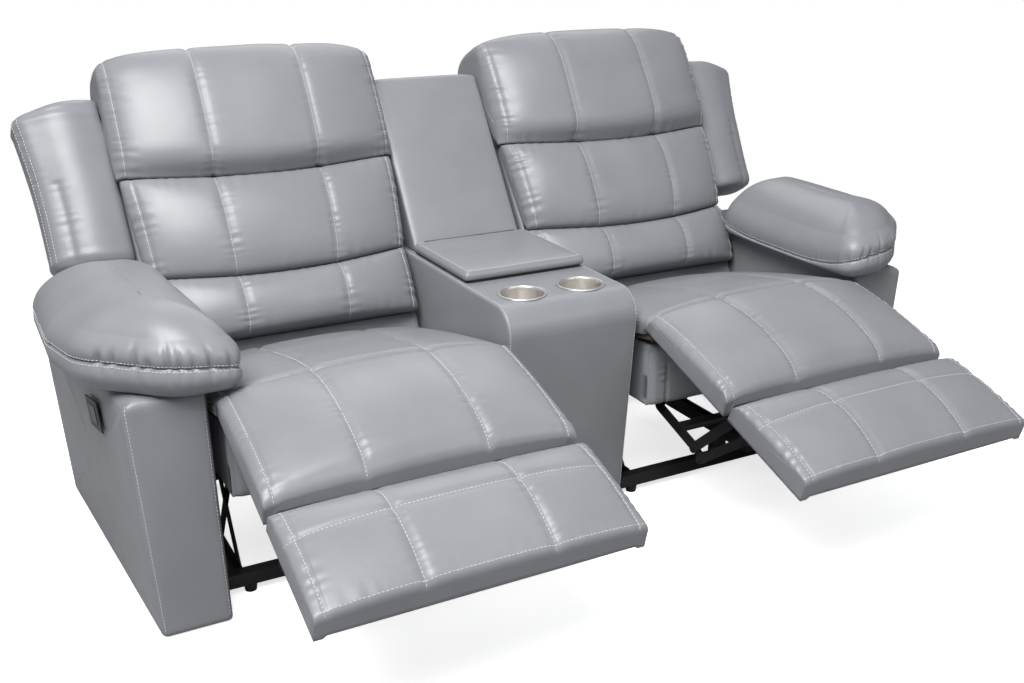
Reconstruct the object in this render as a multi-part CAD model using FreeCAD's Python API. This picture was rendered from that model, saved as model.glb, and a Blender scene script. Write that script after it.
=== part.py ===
import FreeCAD, Part
import math
import os

# Two seat reclining sofa with a centre console, in millimetres.
# X runs along the sofa, -Y is the front, +Z is up. The origin is on the floor, under the console,
# on the plane of symmetry. The right half is modelled and the left half is its mirror image.
# The pose is the one with both leg rests out and the backs upright.

V = FreeCAD.Vector

# Console
console_half = 158.0
console_rear = 320.0
console_front_top = -315.0
console_front_bottom = -265.0
console_height = 534.0
console_nose = 54.0
console_nose_drop = 65.0
panel = 15.0
deck_thickness = 16.0
well_half = 125.0
well_front = -72.0
well_rear = 172.0
tub_wall = 3.0
tub_depth = 190.0
tub_flange = 8.0
cup_x = 73.0
cup_y = -208.0
cup_rim = 53.5
cup_radius = 48.0
cup_wall = 1.6
cup_depth = 72.0
lid_front = -94.0
lid_rear = 192.0
lid_half = 152.0
lid_board_thickness = 5.0
lid_pad_thickness = 22.0
lid_nose = 10.0
console_back_lean = 33.5
console_back_half = 143.0
console_back_length = 470.0
console_back_thickness = 95.0
console_back_foot = 197.5

# Seats
side_gap = 16.0
pad_half = 297.0
arm_gap = 13.0
stitch_x = 116.0
channel = 7.0
channel_width = 10.0
fit = 0.3
seat_slope = 10.9
deck_front = (-333.0, 424.0)
deck_length = 408.0
deck_board = 12.0
deck_half = 290.0
seat_side_height = 34.0
seat_mid_height = 75.0
box_bottom = 257.0
box_rail = 20.0
box_rail_in = 250.0
bolster_face = -318.0
bolster_top = 403.0
bolster_half_top = 278.0
bolster_half_bottom = 260.0
bolster_depth = 15.0
bolster_return = -130.0
bolster_skin = 6.0

# Leg rest, fully out at the slope of the pads
leg_root = (-322.0, 448.0)
leg_slope = 19.0
leg_close = 108.0
foot_close = 71.0
thigh_length = 150.0
calf_length = 150.0
foot_length = 245.0
fold_height = 3.0
pan_height = 10.0
pan_sheet = 4.0
pan_inset = 24.0
knee_room = 10.0
leg_side_height = 40.0
root_side_height = 20.0
leg_mid_height = 56.0
leg_crown_height = 84.0
front_side_height = 41.0
front_mid_height = 54.0

# Leg rest linkage, plate by plate outwards from the middle of the seat
plate = 4.0
plate_pitch = 6.0
side_plate_x = 214.0
side_plate_rear = -228.0
crank_pivot = (-278.0, 236.0)
link_half = 11.0
fold_eye = 6.5
eye = 13.0
pin_radius = 5.0
running = 0.05
tail_length = 34.0
tail_angle = 5.0
tie_forward = 45.0
tie_below = 30.0
ear_reach = 180.0
ear_taper = 30.0
drive_radius = 80.0
drive_tube = 12.0

# Base under each seat
tube_width = 25.0
tube_height = 30.0
ground_gap = 17.0
base_front = -235.0
base_rear = 287.0
rail_height = 33.0
rail_flange = 22.0
rail_wall = 3.0
strut_half = 12.0
glide_radius = 14.0

# Actuator
track_low = 100.0
track_high = 130.0
track_half = 14.0
track_front = -350.0
fork_gap = 12.3
fork_top = 225.0
gear_half = 34.0
motor_radius = 27.0
motor_length = 120.0

# Backs
back_pivot = (150.0, 330.0)
back_lean = 30.0
post_in = 252.0
post_out = 280.0
post_rear = -50.0
post_bottom = -40.0
post_top = 640.0
back_board = 10.0
board_face = 38.0
cover_rear = -90.0
cover_wall = 6.0
cover_half_low = 298.0
cover_half_top = 318.0
cover_bottom = -45.0
cover_top = 655.0
lumbar_start = 62.0
crease_low = (221.0, 192.0)
crease_high = (453.0, 425.0)
crease_gap = 3.0
tier_half = 299.0
head_half = 323.0
tier_side = 60.0
tier_mid = 110.0
tier_rise = 20.0
head_top = 734.0
head_crest = 752.0
head_stitch = 122.0
wing_outer = 988.0
wing_outer_low = 953.0
wing_flare = 2.2
wing_bottom = 276.0
wing_top = 668.0
hinge_pin = 8.0

# Arms
arm_front = -321.0
arm_rear = 413.0
arm_height = 490.0
arm_draft = 11.0
arm_width_bottom = 136.0
arm_width_top = 152.0
arm_flare = 55.0
arm_edge = 12.0
arm_wall = 16.0
pillow_overhang = 66.0
pillow_outer = 1014.0
pillow_top = 640.0
pillow_seam = 540.0
plate_y = -70.0
plate_drop = 110.0
plate_half_y = 52.0
plate_half_z = 31.0
plate_tilt = 10.0
plate_thickness = 3.0
button_half_y = 26.0
button_half_z = 18.0
button_stand = 1.2
button_travel = 1.5

seat_x = console_half + side_gap + pad_half
arm_x = seat_x + pad_half + arm_gap
link_x = side_plate_x + plate_pitch
coupler_x = link_x + plate_pitch
tie_x = coupler_x + plate_pitch
foot_plate_x = tie_x + plate_pitch


def flat_frame(origin, angle):
    """A plane frame in Y and Z: along the first axis, out along the second, turned by an angle about X."""
    c = math.cos(math.radians(angle))
    s = math.sin(math.radians(angle))

    def at(along, out):
        return (origin[0] + along * c + out * s, origin[1] - along * s + out * c)

    return at


def lean_frame(origin, lean):
    """Up the back along the first axis, out to the front along the second."""
    c = math.cos(math.radians(lean))
    s = math.sin(math.radians(lean))

    def at(up, front):
        return (origin[0] + up * s - front * c, origin[1] + up * c + front * s)

    return at


def slope_frame(origin, slope):
    """Forward and down along the first axis, out to the top along the second."""
    c = math.cos(math.radians(slope))
    s = math.sin(math.radians(slope))

    def at(forward, out):
        return (origin[0] - forward * c - out * s, origin[1] - forward * s + out * c)

    return at


leg = slope_frame(leg_root, leg_slope)
seat = flat_frame(deck_front, seat_slope)
back = lean_frame(back_pivot, back_lean)
console_lean = lean_frame((console_back_foot, console_height + fit), console_back_lean)

fold = leg(thigh_length, fold_height)
knee = leg(thigh_length + calf_length, fold_height)


def point(x, yz):
    return V(x, yz[0], yz[1])


def polygon(points):
    return Part.Wire(Part.makePolygon(points + [points[0]]).Edges)


def slab(outline, x0, x1):
    """A plate with its outline in Y and Z, from x0 to x1."""
    face = Part.Face(polygon([point(x0, p) for p in outline]))
    return face.extrude(V(x1 - x0, 0, 0))


def block(x0, x1, y0, y1, z0, z1):
    return Part.makeBox(x1 - x0, y1 - y0, z1 - z0, V(x0, y0, z0))


def rod(centre, radius, x0, x1):
    """A round bar along X through a point in Y and Z."""
    return Part.makeCylinder(radius, x1 - x0, point(x0, centre), V(1, 0, 0))


def unit(a, b):
    length = math.hypot(b[0] - a[0], b[1] - a[1])
    return ((b[0] - a[0]) / length, (b[1] - a[1]) / length)


def link(a, b, half, x0, x1, holes=()):
    """A flat bar with round ends from a to b, with holes at the points given."""
    e = unit(a, b)
    n = (-e[1] * half, e[0] * half)
    a_top = point(x0, (a[0] + n[0], a[1] + n[1]))
    b_top = point(x0, (b[0] + n[0], b[1] + n[1]))
    a_low = point(x0, (a[0] - n[0], a[1] - n[1]))
    b_low = point(x0, (b[0] - n[0], b[1] - n[1]))
    b_end = point(x0, (b[0] + e[0] * half, b[1] + e[1] * half))
    a_end = point(x0, (a[0] - e[0] * half, a[1] - e[1] * half))
    edges = [
        Part.makeLine(a_top, b_top),
        Part.Arc(b_top, b_end, b_low).toShape(),
        Part.makeLine(b_low, a_low),
        Part.Arc(a_low, a_end, a_top).toShape(),
    ]
    bar = Part.Face(Part.Wire(edges)).extrude(V(x1 - x0, 0, 0))
    for hole in holes:
        bar = bar.cut(rod(hole, pin_radius + running, x0 - 1, x1 + 1))
    return bar


def both_sides(make):
    """Solids at a distance out from the seat's centre, on its inner and its outer side."""
    outer = make()
    inner = outer.mirror(V(seat_x, 0, 0), V(1, 0, 0))
    return [outer, inner]


def lateral(dx, half):
    """How full a cushion is across its width: 1 in the middle and 0 at the side seams."""
    return math.sqrt(max(0.0, 1.0 - (dx / half) ** 2))


def stations(half, stitch):
    """Places across a cushion: its side seams, shoulders, sewn channels and panel middles."""
    side = [half, half * 0.97, half * 0.88, (half + stitch) / 2]
    sewn = [stitch + channel_width, stitch, stitch - channel_width]
    right = side + sewn
    return [-d for d in right] + [0.0] + right[::-1]


def dip(dx, stitch):
    return channel if abs(abs(dx) - stitch) < 0.01 else 0.0


def crowned(x, at, base, start, end):
    """A cushion's section: a flat base and a crowned face between two seams."""
    (a0, low0, high0), (a1, low1, high1) = start, end
    a_mid = (a0[1] + a1[1]) / 2
    top = (high0 + high1) / 2 + base[1]
    p1 = point(x, at(a0[0], base[0]))
    p2 = point(x, at(a1[0], base[0]))
    p3 = point(x, at(a1[1], high1))
    p4 = point(x, at(a0[1], high0))
    middle = point(x, at(a_mid, top))
    return Part.Wire(
        [
            Part.makeLine(p1, p2),
            Part.makeLine(p2, p3),
            Part.Arc(p3, middle, p4).toShape(),
            Part.makeLine(p4, p1),
        ]
    )


def loft(wires):
    return Part.makeLoft(wires, True, True)


def seat_front(out):
    """Where the plane across the leg rest's root meets the seat at a height over its deck."""
    run = deck_front[0] - leg_root[0]
    rise = deck_front[1] - leg_root[1]
    c = math.cos(math.radians(seat_slope))
    s = math.sin(math.radians(seat_slope))
    along = -run * c + rise * s
    height = -run * s - rise * c
    return along - (out - height) * math.tan(math.radians(seat_slope + leg_slope))


def under_deck(y):
    """Height just under the sloping deck at a depth."""
    return deck_front[1] - (y - deck_front[0]) * math.tan(math.radians(seat_slope)) - fit


def seat_cushion():
    """The seat cushion on its deck, with two sewn channels and a crown across its width."""
    wires = []
    for dx in stations(pad_half, stitch_x):
        full = lateral(dx, pad_half)
        top = seat_side_height + (seat_mid_height - seat_side_height) * full - dip(dx, stitch_x)
        start = ((seat_front(deck_board), seat_front(top)), 0.0, top)
        end = ((deck_length, deck_length - 6.0), 0.0, top - 4.0)
        wires.append(crowned(seat_x + dx, seat, (deck_board + fit, 2.0), start, end))
    return loft(wires)


def leg_height(forward, full):
    """Height of the upper leg pads' face over their pans, crowned between the seat and the crease."""
    span = thigh_length + calf_length
    side = root_side_height + (leg_side_height - root_side_height) * forward / span
    edge = side + (leg_mid_height - side) * full
    bow = 1.0 - ((forward - span / 2) / (span / 2)) ** 2
    return edge + (leg_crown_height - leg_mid_height) * full * bow


def leg_pad(start, end, start_lean, end_lean):
    """A length of the upper leg pad between two places along the slope."""
    wires = []
    base = pan_height + pan_sheet + fit
    for dx in stations(pad_half, stitch_x):
        full = lateral(dx, pad_half)
        low = leg_height(start, full) - dip(dx, stitch_x)
        high = leg_height(end, full) - dip(dx, stitch_x)
        rise = leg_height((start + end) / 2, full) - dip(dx, stitch_x) - (low + high) / 2 + 0.5
        s = ((start, start + start_lean), 0.0, low)
        e = ((end, end - end_lean), 0.0, high)
        wires.append(crowned(seat_x + dx, leg, (base, rise), s, e))
    return loft(wires)


def foot_pad():
    """The lower leg pad, with its crown and its boxed front edge."""
    wires = []
    base = pan_height + pan_sheet + fit
    start = thigh_length + calf_length
    end = start + foot_length
    for dx in stations(pad_half, stitch_x):
        full = lateral(dx, pad_half)
        low = leg_side_height - dip(dx, stitch_x) * 0.5
        high = front_side_height + (front_mid_height - front_side_height) * full - dip(dx, stitch_x)
        rise = 12.0 + 12.0 * full
        s = ((start + crease_lean(base), start + crease_lean(low)), 0.0, low)
        e = ((end, end - 4.0), 0.0, high)
        wires.append(crowned(seat_x + dx, leg, (base, rise), s, e))
    return loft(wires)


def crease_lean(height):
    """Half the groove at the knee, open enough for the fold when the leg rest closes."""
    half_fold = math.radians((leg_close - foot_close) / 2)
    return (height - fold_height) * math.tan(half_fold) + 1.0


def calf_pad():
    """The upper leg pad's front length, which folds down with the calf pan."""
    wires = []
    base = pan_height + pan_sheet + fit
    start = thigh_length + fit
    end = thigh_length + calf_length
    for dx in stations(pad_half, stitch_x):
        full = lateral(dx, pad_half)
        low = leg_height(start, full) - dip(dx, stitch_x)
        high = leg_side_height - dip(dx, stitch_x) * 0.5
        rise = (low - high) * 0.3 + 3.0
        s = ((start, start), 0.0, low)
        e = ((end - crease_lean(base), end - crease_lean(high)), 0.0, high)
        wires.append(crowned(seat_x + dx, leg, (base, rise), s, e))
    return loft(wires)


def bolster():
    """The upholstered front of the seat box, crowned and narrower at its foot, and its returns on the sides."""
    wires = []
    back_face = bolster_face + bolster_depth - fit
    for share in (0.0, 0.12, 0.5, 0.88, 1.0):
        z = box_bottom + (bolster_top - box_bottom) * share
        half = bolster_half_bottom + (bolster_half_top - bolster_half_bottom) * share
        edge = 5.0 if share in (0.0, 1.0) else 0.0
        face = bolster_face + edge
        p1 = V(seat_x - half, back_face, z)
        p2 = V(seat_x + half, back_face, z)
        p3 = V(seat_x + half, face + 5.0, z)
        p4 = V(seat_x - half, face + 5.0, z)
        middle = V(seat_x, face - 4.0, z)
        wires.append(
            Part.Wire(
                [
                    Part.makeLine(p1, p2),
                    Part.makeLine(p2, p3),
                    Part.Arc(p3, middle, p4).toShape(),
                    Part.makeLine(p4, p1),
                ]
            )
        )
    start = bolster_face + bolster_depth + fit
    side = [
        (start, box_bottom),
        (bolster_return, box_bottom),
        (bolster_return, under_deck(bolster_return)),
        (start, under_deck(start)),
    ]
    x0 = seat_x + box_rail_in + box_rail + fit
    return [loft(wires)] + both_sides(lambda: slab(side, x0, x0 + bolster_skin))


def seat_frame():
    """Boards of the seat box, the sloping deck on them and the board under the thigh pad."""
    front = bolster_face + bolster_depth
    rear_y, rear_z = seat(deck_length, 0)
    front_z = deck_front[1] - (front - deck_front[0]) * math.tan(math.radians(seat_slope))
    drop = math.tan(math.radians(seat_slope))
    solids = []
    side = [(front, box_bottom), (rear_y, box_bottom), (rear_y, rear_z), (front, front_z)]
    solids += both_sides(lambda: slab(side, seat_x + box_rail_in, seat_x + box_rail_in + box_rail))
    x0 = seat_x - box_rail_in
    x1 = seat_x + box_rail_in
    solids.append(block(x0, x1, front, front + box_rail, box_bottom, bolster_top - 8.0))
    rear = [
        (rear_y - box_rail, box_bottom),
        (rear_y, box_bottom),
        (rear_y, rear_z),
        (rear_y - box_rail, rear_z + box_rail * drop),
    ]
    solids.append(slab(rear, x0 + plate + fit, x1 - plate - fit))
    deck = [seat(0, 0), seat(deck_length, 0), seat(deck_length, deck_board), seat(0, deck_board)]
    solids.append(slab(deck, seat_x - deck_half, seat_x + deck_half))
    board = [
        leg(4, pan_height),
        leg(thigh_length - 1, pan_height),
        leg(thigh_length - 1, pan_height + pan_sheet),
        leg(4, pan_height + pan_sheet),
    ]
    half = pad_half - pan_inset
    solids.append(slab(board, seat_x - half, seat_x + half))
    return solids


def side_plates():
    """Fixed plates behind the seat's front rail. Each carries the crank's pin and, on its arm, the fold's pin."""
    x0 = seat_x + side_plate_x
    x1 = x0 + plate
    rail_back = bolster_face + bolster_depth + box_rail + fit
    over = bolster_top + 1.5
    arm_root = leg(0, 0)[0]
    body = [
        (rail_back, crank_pivot[1]),
        (crank_pivot[0] + eye, crank_pivot[1]),
        (side_plate_rear, box_bottom + 20.0),
        (side_plate_rear, under_deck(side_plate_rear)),
        (rail_back, under_deck(rail_back)),
    ]
    neck = [
        (rail_back, under_deck(rail_back)),
        (rail_back, over),
        (arm_root + 4.0, over),
        (fold[0] + 1.0, fold[1] - fold_eye + 0.2),
        (fold[0] - 2.0, fold[1] + fold_eye - 1.0),
        leg(8.0, pan_height - fit),
        (deck_front[0] - 2.0, under_deck(deck_front[0])),
    ]

    def make():
        shape = slab(body, x0, x1).fuse(slab(neck, x0, x1))
        shape = shape.fuse(rod(crank_pivot, eye, x0, x1))
        shape = shape.fuse(rod(fold, fold_eye, x0, x1))
        shape = shape.fuse(rod(crank_pivot, pin_radius, x0, x0 + plate_pitch + plate + 1.5))
        shape = shape.fuse(rod(fold, pin_radius, x0, x0 + plate_pitch + plate + 1.0))
        return shape.removeSplitter()

    return both_sides(make)


def calf_pan():
    """Steel sheet under the calf pad and its two cranks, from the fold to the knee."""
    start = thigh_length + 1.5
    end = thigh_length + calf_length - knee_room
    sheet = [
        leg(start, pan_height),
        leg(end, pan_height),
        leg(end, pan_height + pan_sheet),
        leg(start, pan_height + pan_sheet),
    ]
    half = pad_half - pan_inset
    solids = [slab(sheet, seat_x - half, seat_x + half)]
    x0 = seat_x + link_x

    def crank():
        bar = link(fold, knee, 6.8, x0, x0 + plate, (fold,))
        return bar.fuse(rod(knee, pin_radius, x0, seat_x + foot_plate_x + plate + 1.0))

    return solids + both_sides(crank)


def foot_point():
    """Where the tie bar meets the foot plate."""
    return leg(thigh_length + calf_length + tie_forward, fold_height - tie_below)


def foot_pan():
    """Steel sheet under the foot pad and the two plates that hinge it at the knee."""
    knee_at = thigh_length + calf_length
    start = knee_at + knee_room
    end = knee_at + foot_length - 12.0
    sheet = [
        leg(start, pan_height),
        leg(end, pan_height),
        leg(end, pan_height + pan_sheet),
        leg(start, pan_height + pan_sheet),
    ]
    half = pad_half - pan_inset
    solids = [slab(sheet, seat_x - half, seat_x + half)]
    x0 = seat_x + foot_plate_x
    tip = foot_point()
    outline = [
        leg(knee_at + 9.0, pan_height - fit),
        leg(knee_at - 6.0, fold_height),
        leg(knee_at + tie_forward - 12.0, fold_height - tie_below),
        leg(knee_at + tie_forward + 12.0, fold_height - tie_below),
        leg(knee_at + ear_reach - ear_taper, pan_height - 9.0),
        leg(knee_at + ear_reach, pan_height - fit),
    ]

    def ear():
        shape = slab(outline, x0, x0 + plate)
        shape = shape.fuse(rod(knee, fold_eye, x0, x0 + plate))
        shape = shape.fuse(rod(tip, 12.0, x0, x0 + plate))
        shape = shape.cut(rod(knee, pin_radius + running, x0 - 1, x0 + plate + 1))
        return shape.removeSplitter()

    return solids + both_sides(ear)


def along_slope(start, length, angle):
    """A point from another, forward and down at an angle to the leg rest's slope."""
    s = math.radians(leg_slope + angle)
    return (start[0] - length * math.cos(s), start[1] - length * math.sin(s))


elbow = along_slope(crank_pivot, calf_length, 0)
tail = along_slope(elbow, tail_length, tail_angle)
drive = along_slope(crank_pivot, drive_radius, 0)


def long_links():
    """The driven cranks with their tails, and the tube across that joins them."""
    x0 = seat_x + link_x

    def crank():
        shape = link(crank_pivot, elbow, eye, x0, x0 + plate, (crank_pivot,))
        shape = shape.fuse(link(elbow, tail, 10.0, x0, x0 + plate))
        shape = shape.fuse(rod(elbow, pin_radius, x0, x0 + plate_pitch + plate + 1.0))
        shape = shape.fuse(rod(tail, pin_radius, x0, x0 + 2 * plate_pitch + plate + 1.0))
        return shape.removeSplitter()

    tube = rod(drive, drive_tube, seat_x - link_x, seat_x + link_x)
    bore = rod(drive, drive_tube - 2.5, seat_x - link_x, seat_x + link_x)
    return both_sides(crank) + [tube.cut(bore)]


def coupler_links():
    """Bars from the cranks' elbows up to the knee pins, parallel to the line between the fixed pins."""
    x0 = seat_x + coupler_x
    open_end = pin_radius + fit

    def bar():
        shape = link(elbow, knee, link_half, x0, x0 + plate, (elbow,))
        return shape.cut(rod(knee, open_end, x0 - 1, x0 + plate + 1))

    return both_sides(bar)


def tie_links():
    """Tie bars from the cranks' tails to the foot plates. Their far ends stand beside the foot plates."""
    x0 = seat_x + tie_x
    return both_sides(lambda: link(tail, foot_point(), 10.0, x0, x0 + plate, (tail,)))


def base_frame():
    """Cross tubes, side angles, crossed struts and the plates that carry the back's pins."""
    solids = []
    for y in (base_front, base_rear - tube_width):
        outer = block(console_half, arm_x - arm_draft, y, y + tube_width, ground_gap, ground_gap + tube_height)
        wall = 2.0
        low = ground_gap + wall
        high = ground_gap + tube_height - wall
        bore = block(console_half, arm_x - arm_draft, y + wall, y + tube_width - wall, low, high)
        solids.append(outer.cut(bore))
    y0 = base_front + tube_width
    y1 = base_rear - tube_width
    x0 = seat_x + box_rail_in
    top = ground_gap + rail_height

    def angle():
        web = block(x0, x0 + rail_wall, y0, y1, ground_gap, top)
        flange = block(x0, x0 + rail_flange, y0, y1, ground_gap, ground_gap + rail_wall)
        return web.fuse(flange).removeSplitter()

    solids += both_sides(angle)
    foot = ground_gap + rail_height / 2 + 3.0
    head = box_bottom + 15.0
    lines = [((-175.0, foot), (-20.0, head)), ((30.0, head), (200.0, foot))]
    for a, b in lines:
        solids += both_sides(lambda: link(a, b, strut_half, x0 - plate, x0))
    crossing = ((-20.0, foot), (-175.0, head))
    solids += both_sides(lambda: link(*crossing, strut_half, x0 - 2 * plate - 0.1, x0 - plate - 0.1))
    return solids + both_sides(back_hinge_plate)


def back_hinge_plate():
    """A plate from the seat box's side out to the back's pin."""
    x0 = seat_x + box_rail_in
    rear_y = seat(deck_length, 0)[0]
    top = back_pivot[1] - 2.0
    outline = [
        (rear_y - 60.0, top - 42.0),
        (rear_y + 10.0, top - 42.0),
        (back_pivot[0] + 6.0, back_pivot[1] - 13.0),
        (back_pivot[0], back_pivot[1] + 14.0),
        (rear_y + 4.0, top),
        (rear_y - 60.0, top),
    ]
    shape = slab(outline, x0 - plate, x0)
    shape = shape.fuse(rod(back_pivot, 15.0, x0 - plate, x0))
    shape = shape.fuse(rod(back_pivot, hinge_pin, x0 - plate, seat_x + post_out - 4.0))
    return shape.removeSplitter()


def glides():
    """Feet under the cross tubes of both seats."""
    solids = []
    inset = 60.0
    for side in (-1, 1):
        for x in (console_half + inset, arm_x - arm_draft - inset):
            for y in (base_front + tube_width / 2, base_rear - tube_width / 2):
                foot = Part.makeCone(glide_radius - 2.0, glide_radius, ground_gap, V(side * x, y, 0))
                solids.append(foot)
    return solids


def actuator():
    """The track, its hangers on the cross tubes, the gear housing and the motor beside it."""
    tube_top = ground_gap + tube_height
    x0 = seat_x - track_half
    x1 = seat_x + track_half
    track = block(x0, x1, track_front, base_rear, track_low, track_high)
    groove = block(x0 + 9.0, x1 - 9.0, track_front, base_rear - 160.0, track_high - 8.0, track_high)
    solids = [track.cut(groove)]
    for y in (base_front, base_rear - tube_width):
        hanger = block(x0 - 6.0, x1 + 6.0, y + 3.0, y + tube_width - 3.0, tube_top, track_low)
        solids.append(hanger)
    gear_front = base_rear - 170.0
    gear = block(x1, x1 + 2 * gear_half, gear_front, gear_front + 62.0, track_low - 22.0, track_high + 24.0)
    gear = gear.makeFillet(9.0, [e for e in gear.Edges if abs(e.tangentAt(e.FirstParameter).y) > 0.9])
    centre = V(x1 + gear_half, gear_front - motor_length, (track_low + track_high) / 2)
    can = Part.makeCylinder(motor_radius, motor_length, centre, V(0, 1, 0))
    cap = Part.makeCone(motor_radius - 8.0, motor_radius - 1.0, 12.0, centre - V(0, 12.0, 0), V(0, 1, 0))
    solids.append(gear.fuse(can).fuse(cap).removeSplitter())
    return solids


def carriage():
    """The block that slides on the track, with the upright fork that takes the drive tube."""
    y = drive[0]
    back_face = y + drive_tube + 0.5
    front_face = y - drive_tube - fork_gap
    half = track_half + 6.0
    x0 = seat_x - half
    x1 = seat_x + half
    rear = y + 74.0
    body = block(x0, x1, y - 2.0, rear, track_low + 3.0, track_high + 9.0)
    slot_half = track_half + fit
    slot = block(seat_x - slot_half, seat_x + slot_half, y - 3.0, rear + 1.0, track_low, track_high + fit)
    body = body.cut(slot)
    low = track_high + fit
    behind = block(x0, x1, back_face, back_face + plate, low, fork_top)
    ahead = block(x0, x1, front_face - plate, front_face, low, fork_top)
    floor = block(x0, x1, front_face - plate, back_face + plate, low, low + 4.0)
    rib = slab([(back_face + plate, low), (rear, low), (back_face + plate, fork_top - 20.0)], seat_x - 3.0, seat_x + 3.0)
    return [body.fuse(behind).fuse(ahead).fuse(floor).fuse(rib).removeSplitter()]


def back_frame():
    """Posts with their pin holes, three rails between them and the sprung board under the pads."""
    face = board_face - back_board

    def post():
        outline = [
            back(post_bottom, post_rear),
            back(post_top, post_rear + 15.0),
            back(post_top, face),
            back(post_bottom, face - 14.0),
        ]
        shape = slab(outline, seat_x + post_in, seat_x + post_out)
        return shape.cut(rod(back_pivot, hinge_pin + running, seat_x + post_in - 1, seat_x + post_out + 1))

    solids = both_sides(post)
    for up, height in ((70.0, 40.0), (330.0, 40.0), (post_top - 40.0, 40.0)):
        outline = [back(up, -30.0), back(up + height, -30.0), back(up + height, face - 3), back(up, face - 3)]
        solids.append(slab(outline, seat_x - post_in, seat_x + post_in))
    board = [
        back(lumbar_start, face),
        back(post_top, face),
        back(post_top, board_face),
        back(lumbar_start, board_face),
    ]
    solids.append(slab(board, seat_x - cover_half_low + 14, seat_x + cover_half_low - 14))
    return solids


def cover_half(up):
    share = (up - cover_bottom) / (cover_top - cover_bottom)
    return cover_half_low + (cover_half_top - cover_half_low) * share


def back_cover():
    """The skin over the back's rear and sides, open to the front and at its foot."""

    def tray(inset, rear, front, low, high):
        def ring(x_half_low, x_half_high, t):
            return polygon(
                [
                    point(seat_x - x_half_low, back(low, t)),
                    point(seat_x + x_half_low, back(low, t)),
                    point(seat_x + x_half_high, back(high, t)),
                    point(seat_x - x_half_high, back(high, t)),
                ]
            )

        low_half = cover_half(low) - inset
        high_half = cover_half(high) - inset
        return loft([ring(low_half, high_half, rear), ring(low_half, high_half, front)])

    outer = tray(0.0, cover_rear, board_face, cover_bottom, cover_top)
    inner = tray(cover_wall, cover_rear + cover_wall, board_face + 1, cover_bottom - 1, cover_top - cover_wall)
    return outer.cut(inner)


def crease_at(pair, dx, half):
    """Height of a crease: lower in the middle than at the side seams."""
    side, mid = pair
    return side + (mid - side) * (1.0 - (dx / half) ** 2)


def tier(low_of, high_of, half, low_mid):
    """A tier of the back: crowned between two creases and drawn in at its side seams."""
    wires = []
    base = board_face + fit
    for dx in stations(half, stitch_x):
        full = lateral(dx, half)
        edge = tier_side + (tier_mid - tier_side) * full - dip(dx, stitch_x)
        a0 = low_of(dx)
        a1 = high_of(dx)
        foot = edge if low_mid is None else tier_side - 14.0 + (low_mid - tier_side) * full
        s = ((a0, a0), 0.0, foot)
        e = ((a1, a1), 0.0, edge)
        wires.append(crowned(seat_x + dx, back, (base, 4.0 + (tier_rise - 4.0) * full), s, e))
    return loft(wires)


def lumbar_pad():
    return tier(
        lambda dx: lumbar_start,
        lambda dx: crease_at(crease_low, dx, tier_half) - crease_gap,
        tier_half,
        tier_mid - 8.0,
    )


def middle_pad():
    return tier(
        lambda dx: crease_at(crease_low, dx, tier_half) + crease_gap,
        lambda dx: crease_at(crease_high, dx, tier_half) - crease_gap,
        tier_half,
        None,
    )


def head_pad():
    """The top tier, which rolls over the top of the back."""
    wires = []
    base = board_face + fit
    under = cover_top + fit
    for dx in stations(head_half, head_stitch):
        full = lateral(dx, head_half)
        pinch = dip(dx, head_stitch)
        a0 = crease_at(crease_high, dx, head_half) + crease_gap
        edge = tier_side + (tier_mid - tier_side) * full - pinch
        top = head_top - 36.0 * (1.0 - full)
        crest = head_crest - 34.0 * (1.0 - full) - pinch
        crown = edge + 8.0 + 20.0 * full
        points = [
            back(a0, base),
            back(a0, edge),
            back((a0 + top) / 2, crown),
            back(top, edge),
            back(crest, (edge + cover_rear) / 2 + 6.0),
            back(top - 18.0, cover_rear + 2.0),
            back(under, cover_rear + 2.0),
            back(under, base),
        ]
        p = [point(seat_x + dx, q) for q in points]
        wires.append(
            Part.Wire(
                [
                    Part.makeLine(p[0], p[1]),
                    Part.Arc(p[1], p[2], p[3]).toShape(),
                    Part.Arc(p[3], p[4], p[5]).toShape(),
                    Part.makeLine(p[5], p[6]),
                    Part.makeLine(p[6], p[7]),
                    Part.makeLine(p[7], p[0]),
                ]
            )
        )
    return loft(wires)


def wing():
    """The padded wing on the back's outer side, full in the middle and drawn in at top and bottom."""
    wires = []
    steps = (
        (wing_bottom, 14.0),
        (wing_bottom + 16.0, 3.0),
        (wing_bottom + 110.0, 0.0),
        (wing_top - 180.0, 0.0),
        (wing_top - 90.0, 0.0),
        (wing_top - 26.0, 3.0),
        (wing_top, 16.0),
    )
    for up, inset in steps:
        share = (up - wing_bottom) / (wing_top - wing_bottom)
        inner = seat_x + (cover_half(up) if up < cover_top - 20.0 else head_half) + fit
        outer = wing_outer_low + (wing_outer - wing_outer_low) * share**wing_flare - inset
        front = board_face - 8.0 - inset
        rear = cover_rear + 4.0 + inset
        spots = [
            (inner, front),
            ((inner + outer) / 2 - 6.0, front + 5.0),
            (outer - 34.0, front - 22.0),
            (outer - 7.0, front - 42.0),
            (outer, front - 72.0),
            (outer - 8.0, rear),
            (inner, rear),
        ]
        p = [point(x, back(up, t)) for x, t in spots]
        wires.append(
            Part.Wire(
                [
                    Part.Arc(p[0], p[1], p[2]).toShape(),
                    Part.Arc(p[2], p[3], p[4]).toShape(),
                    Part.makeLine(p[4], p[5]),
                    Part.makeLine(p[5], p[6]),
                    Part.makeLine(p[6], p[0]),
                ]
            )
        )
    return loft(wires)


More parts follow.
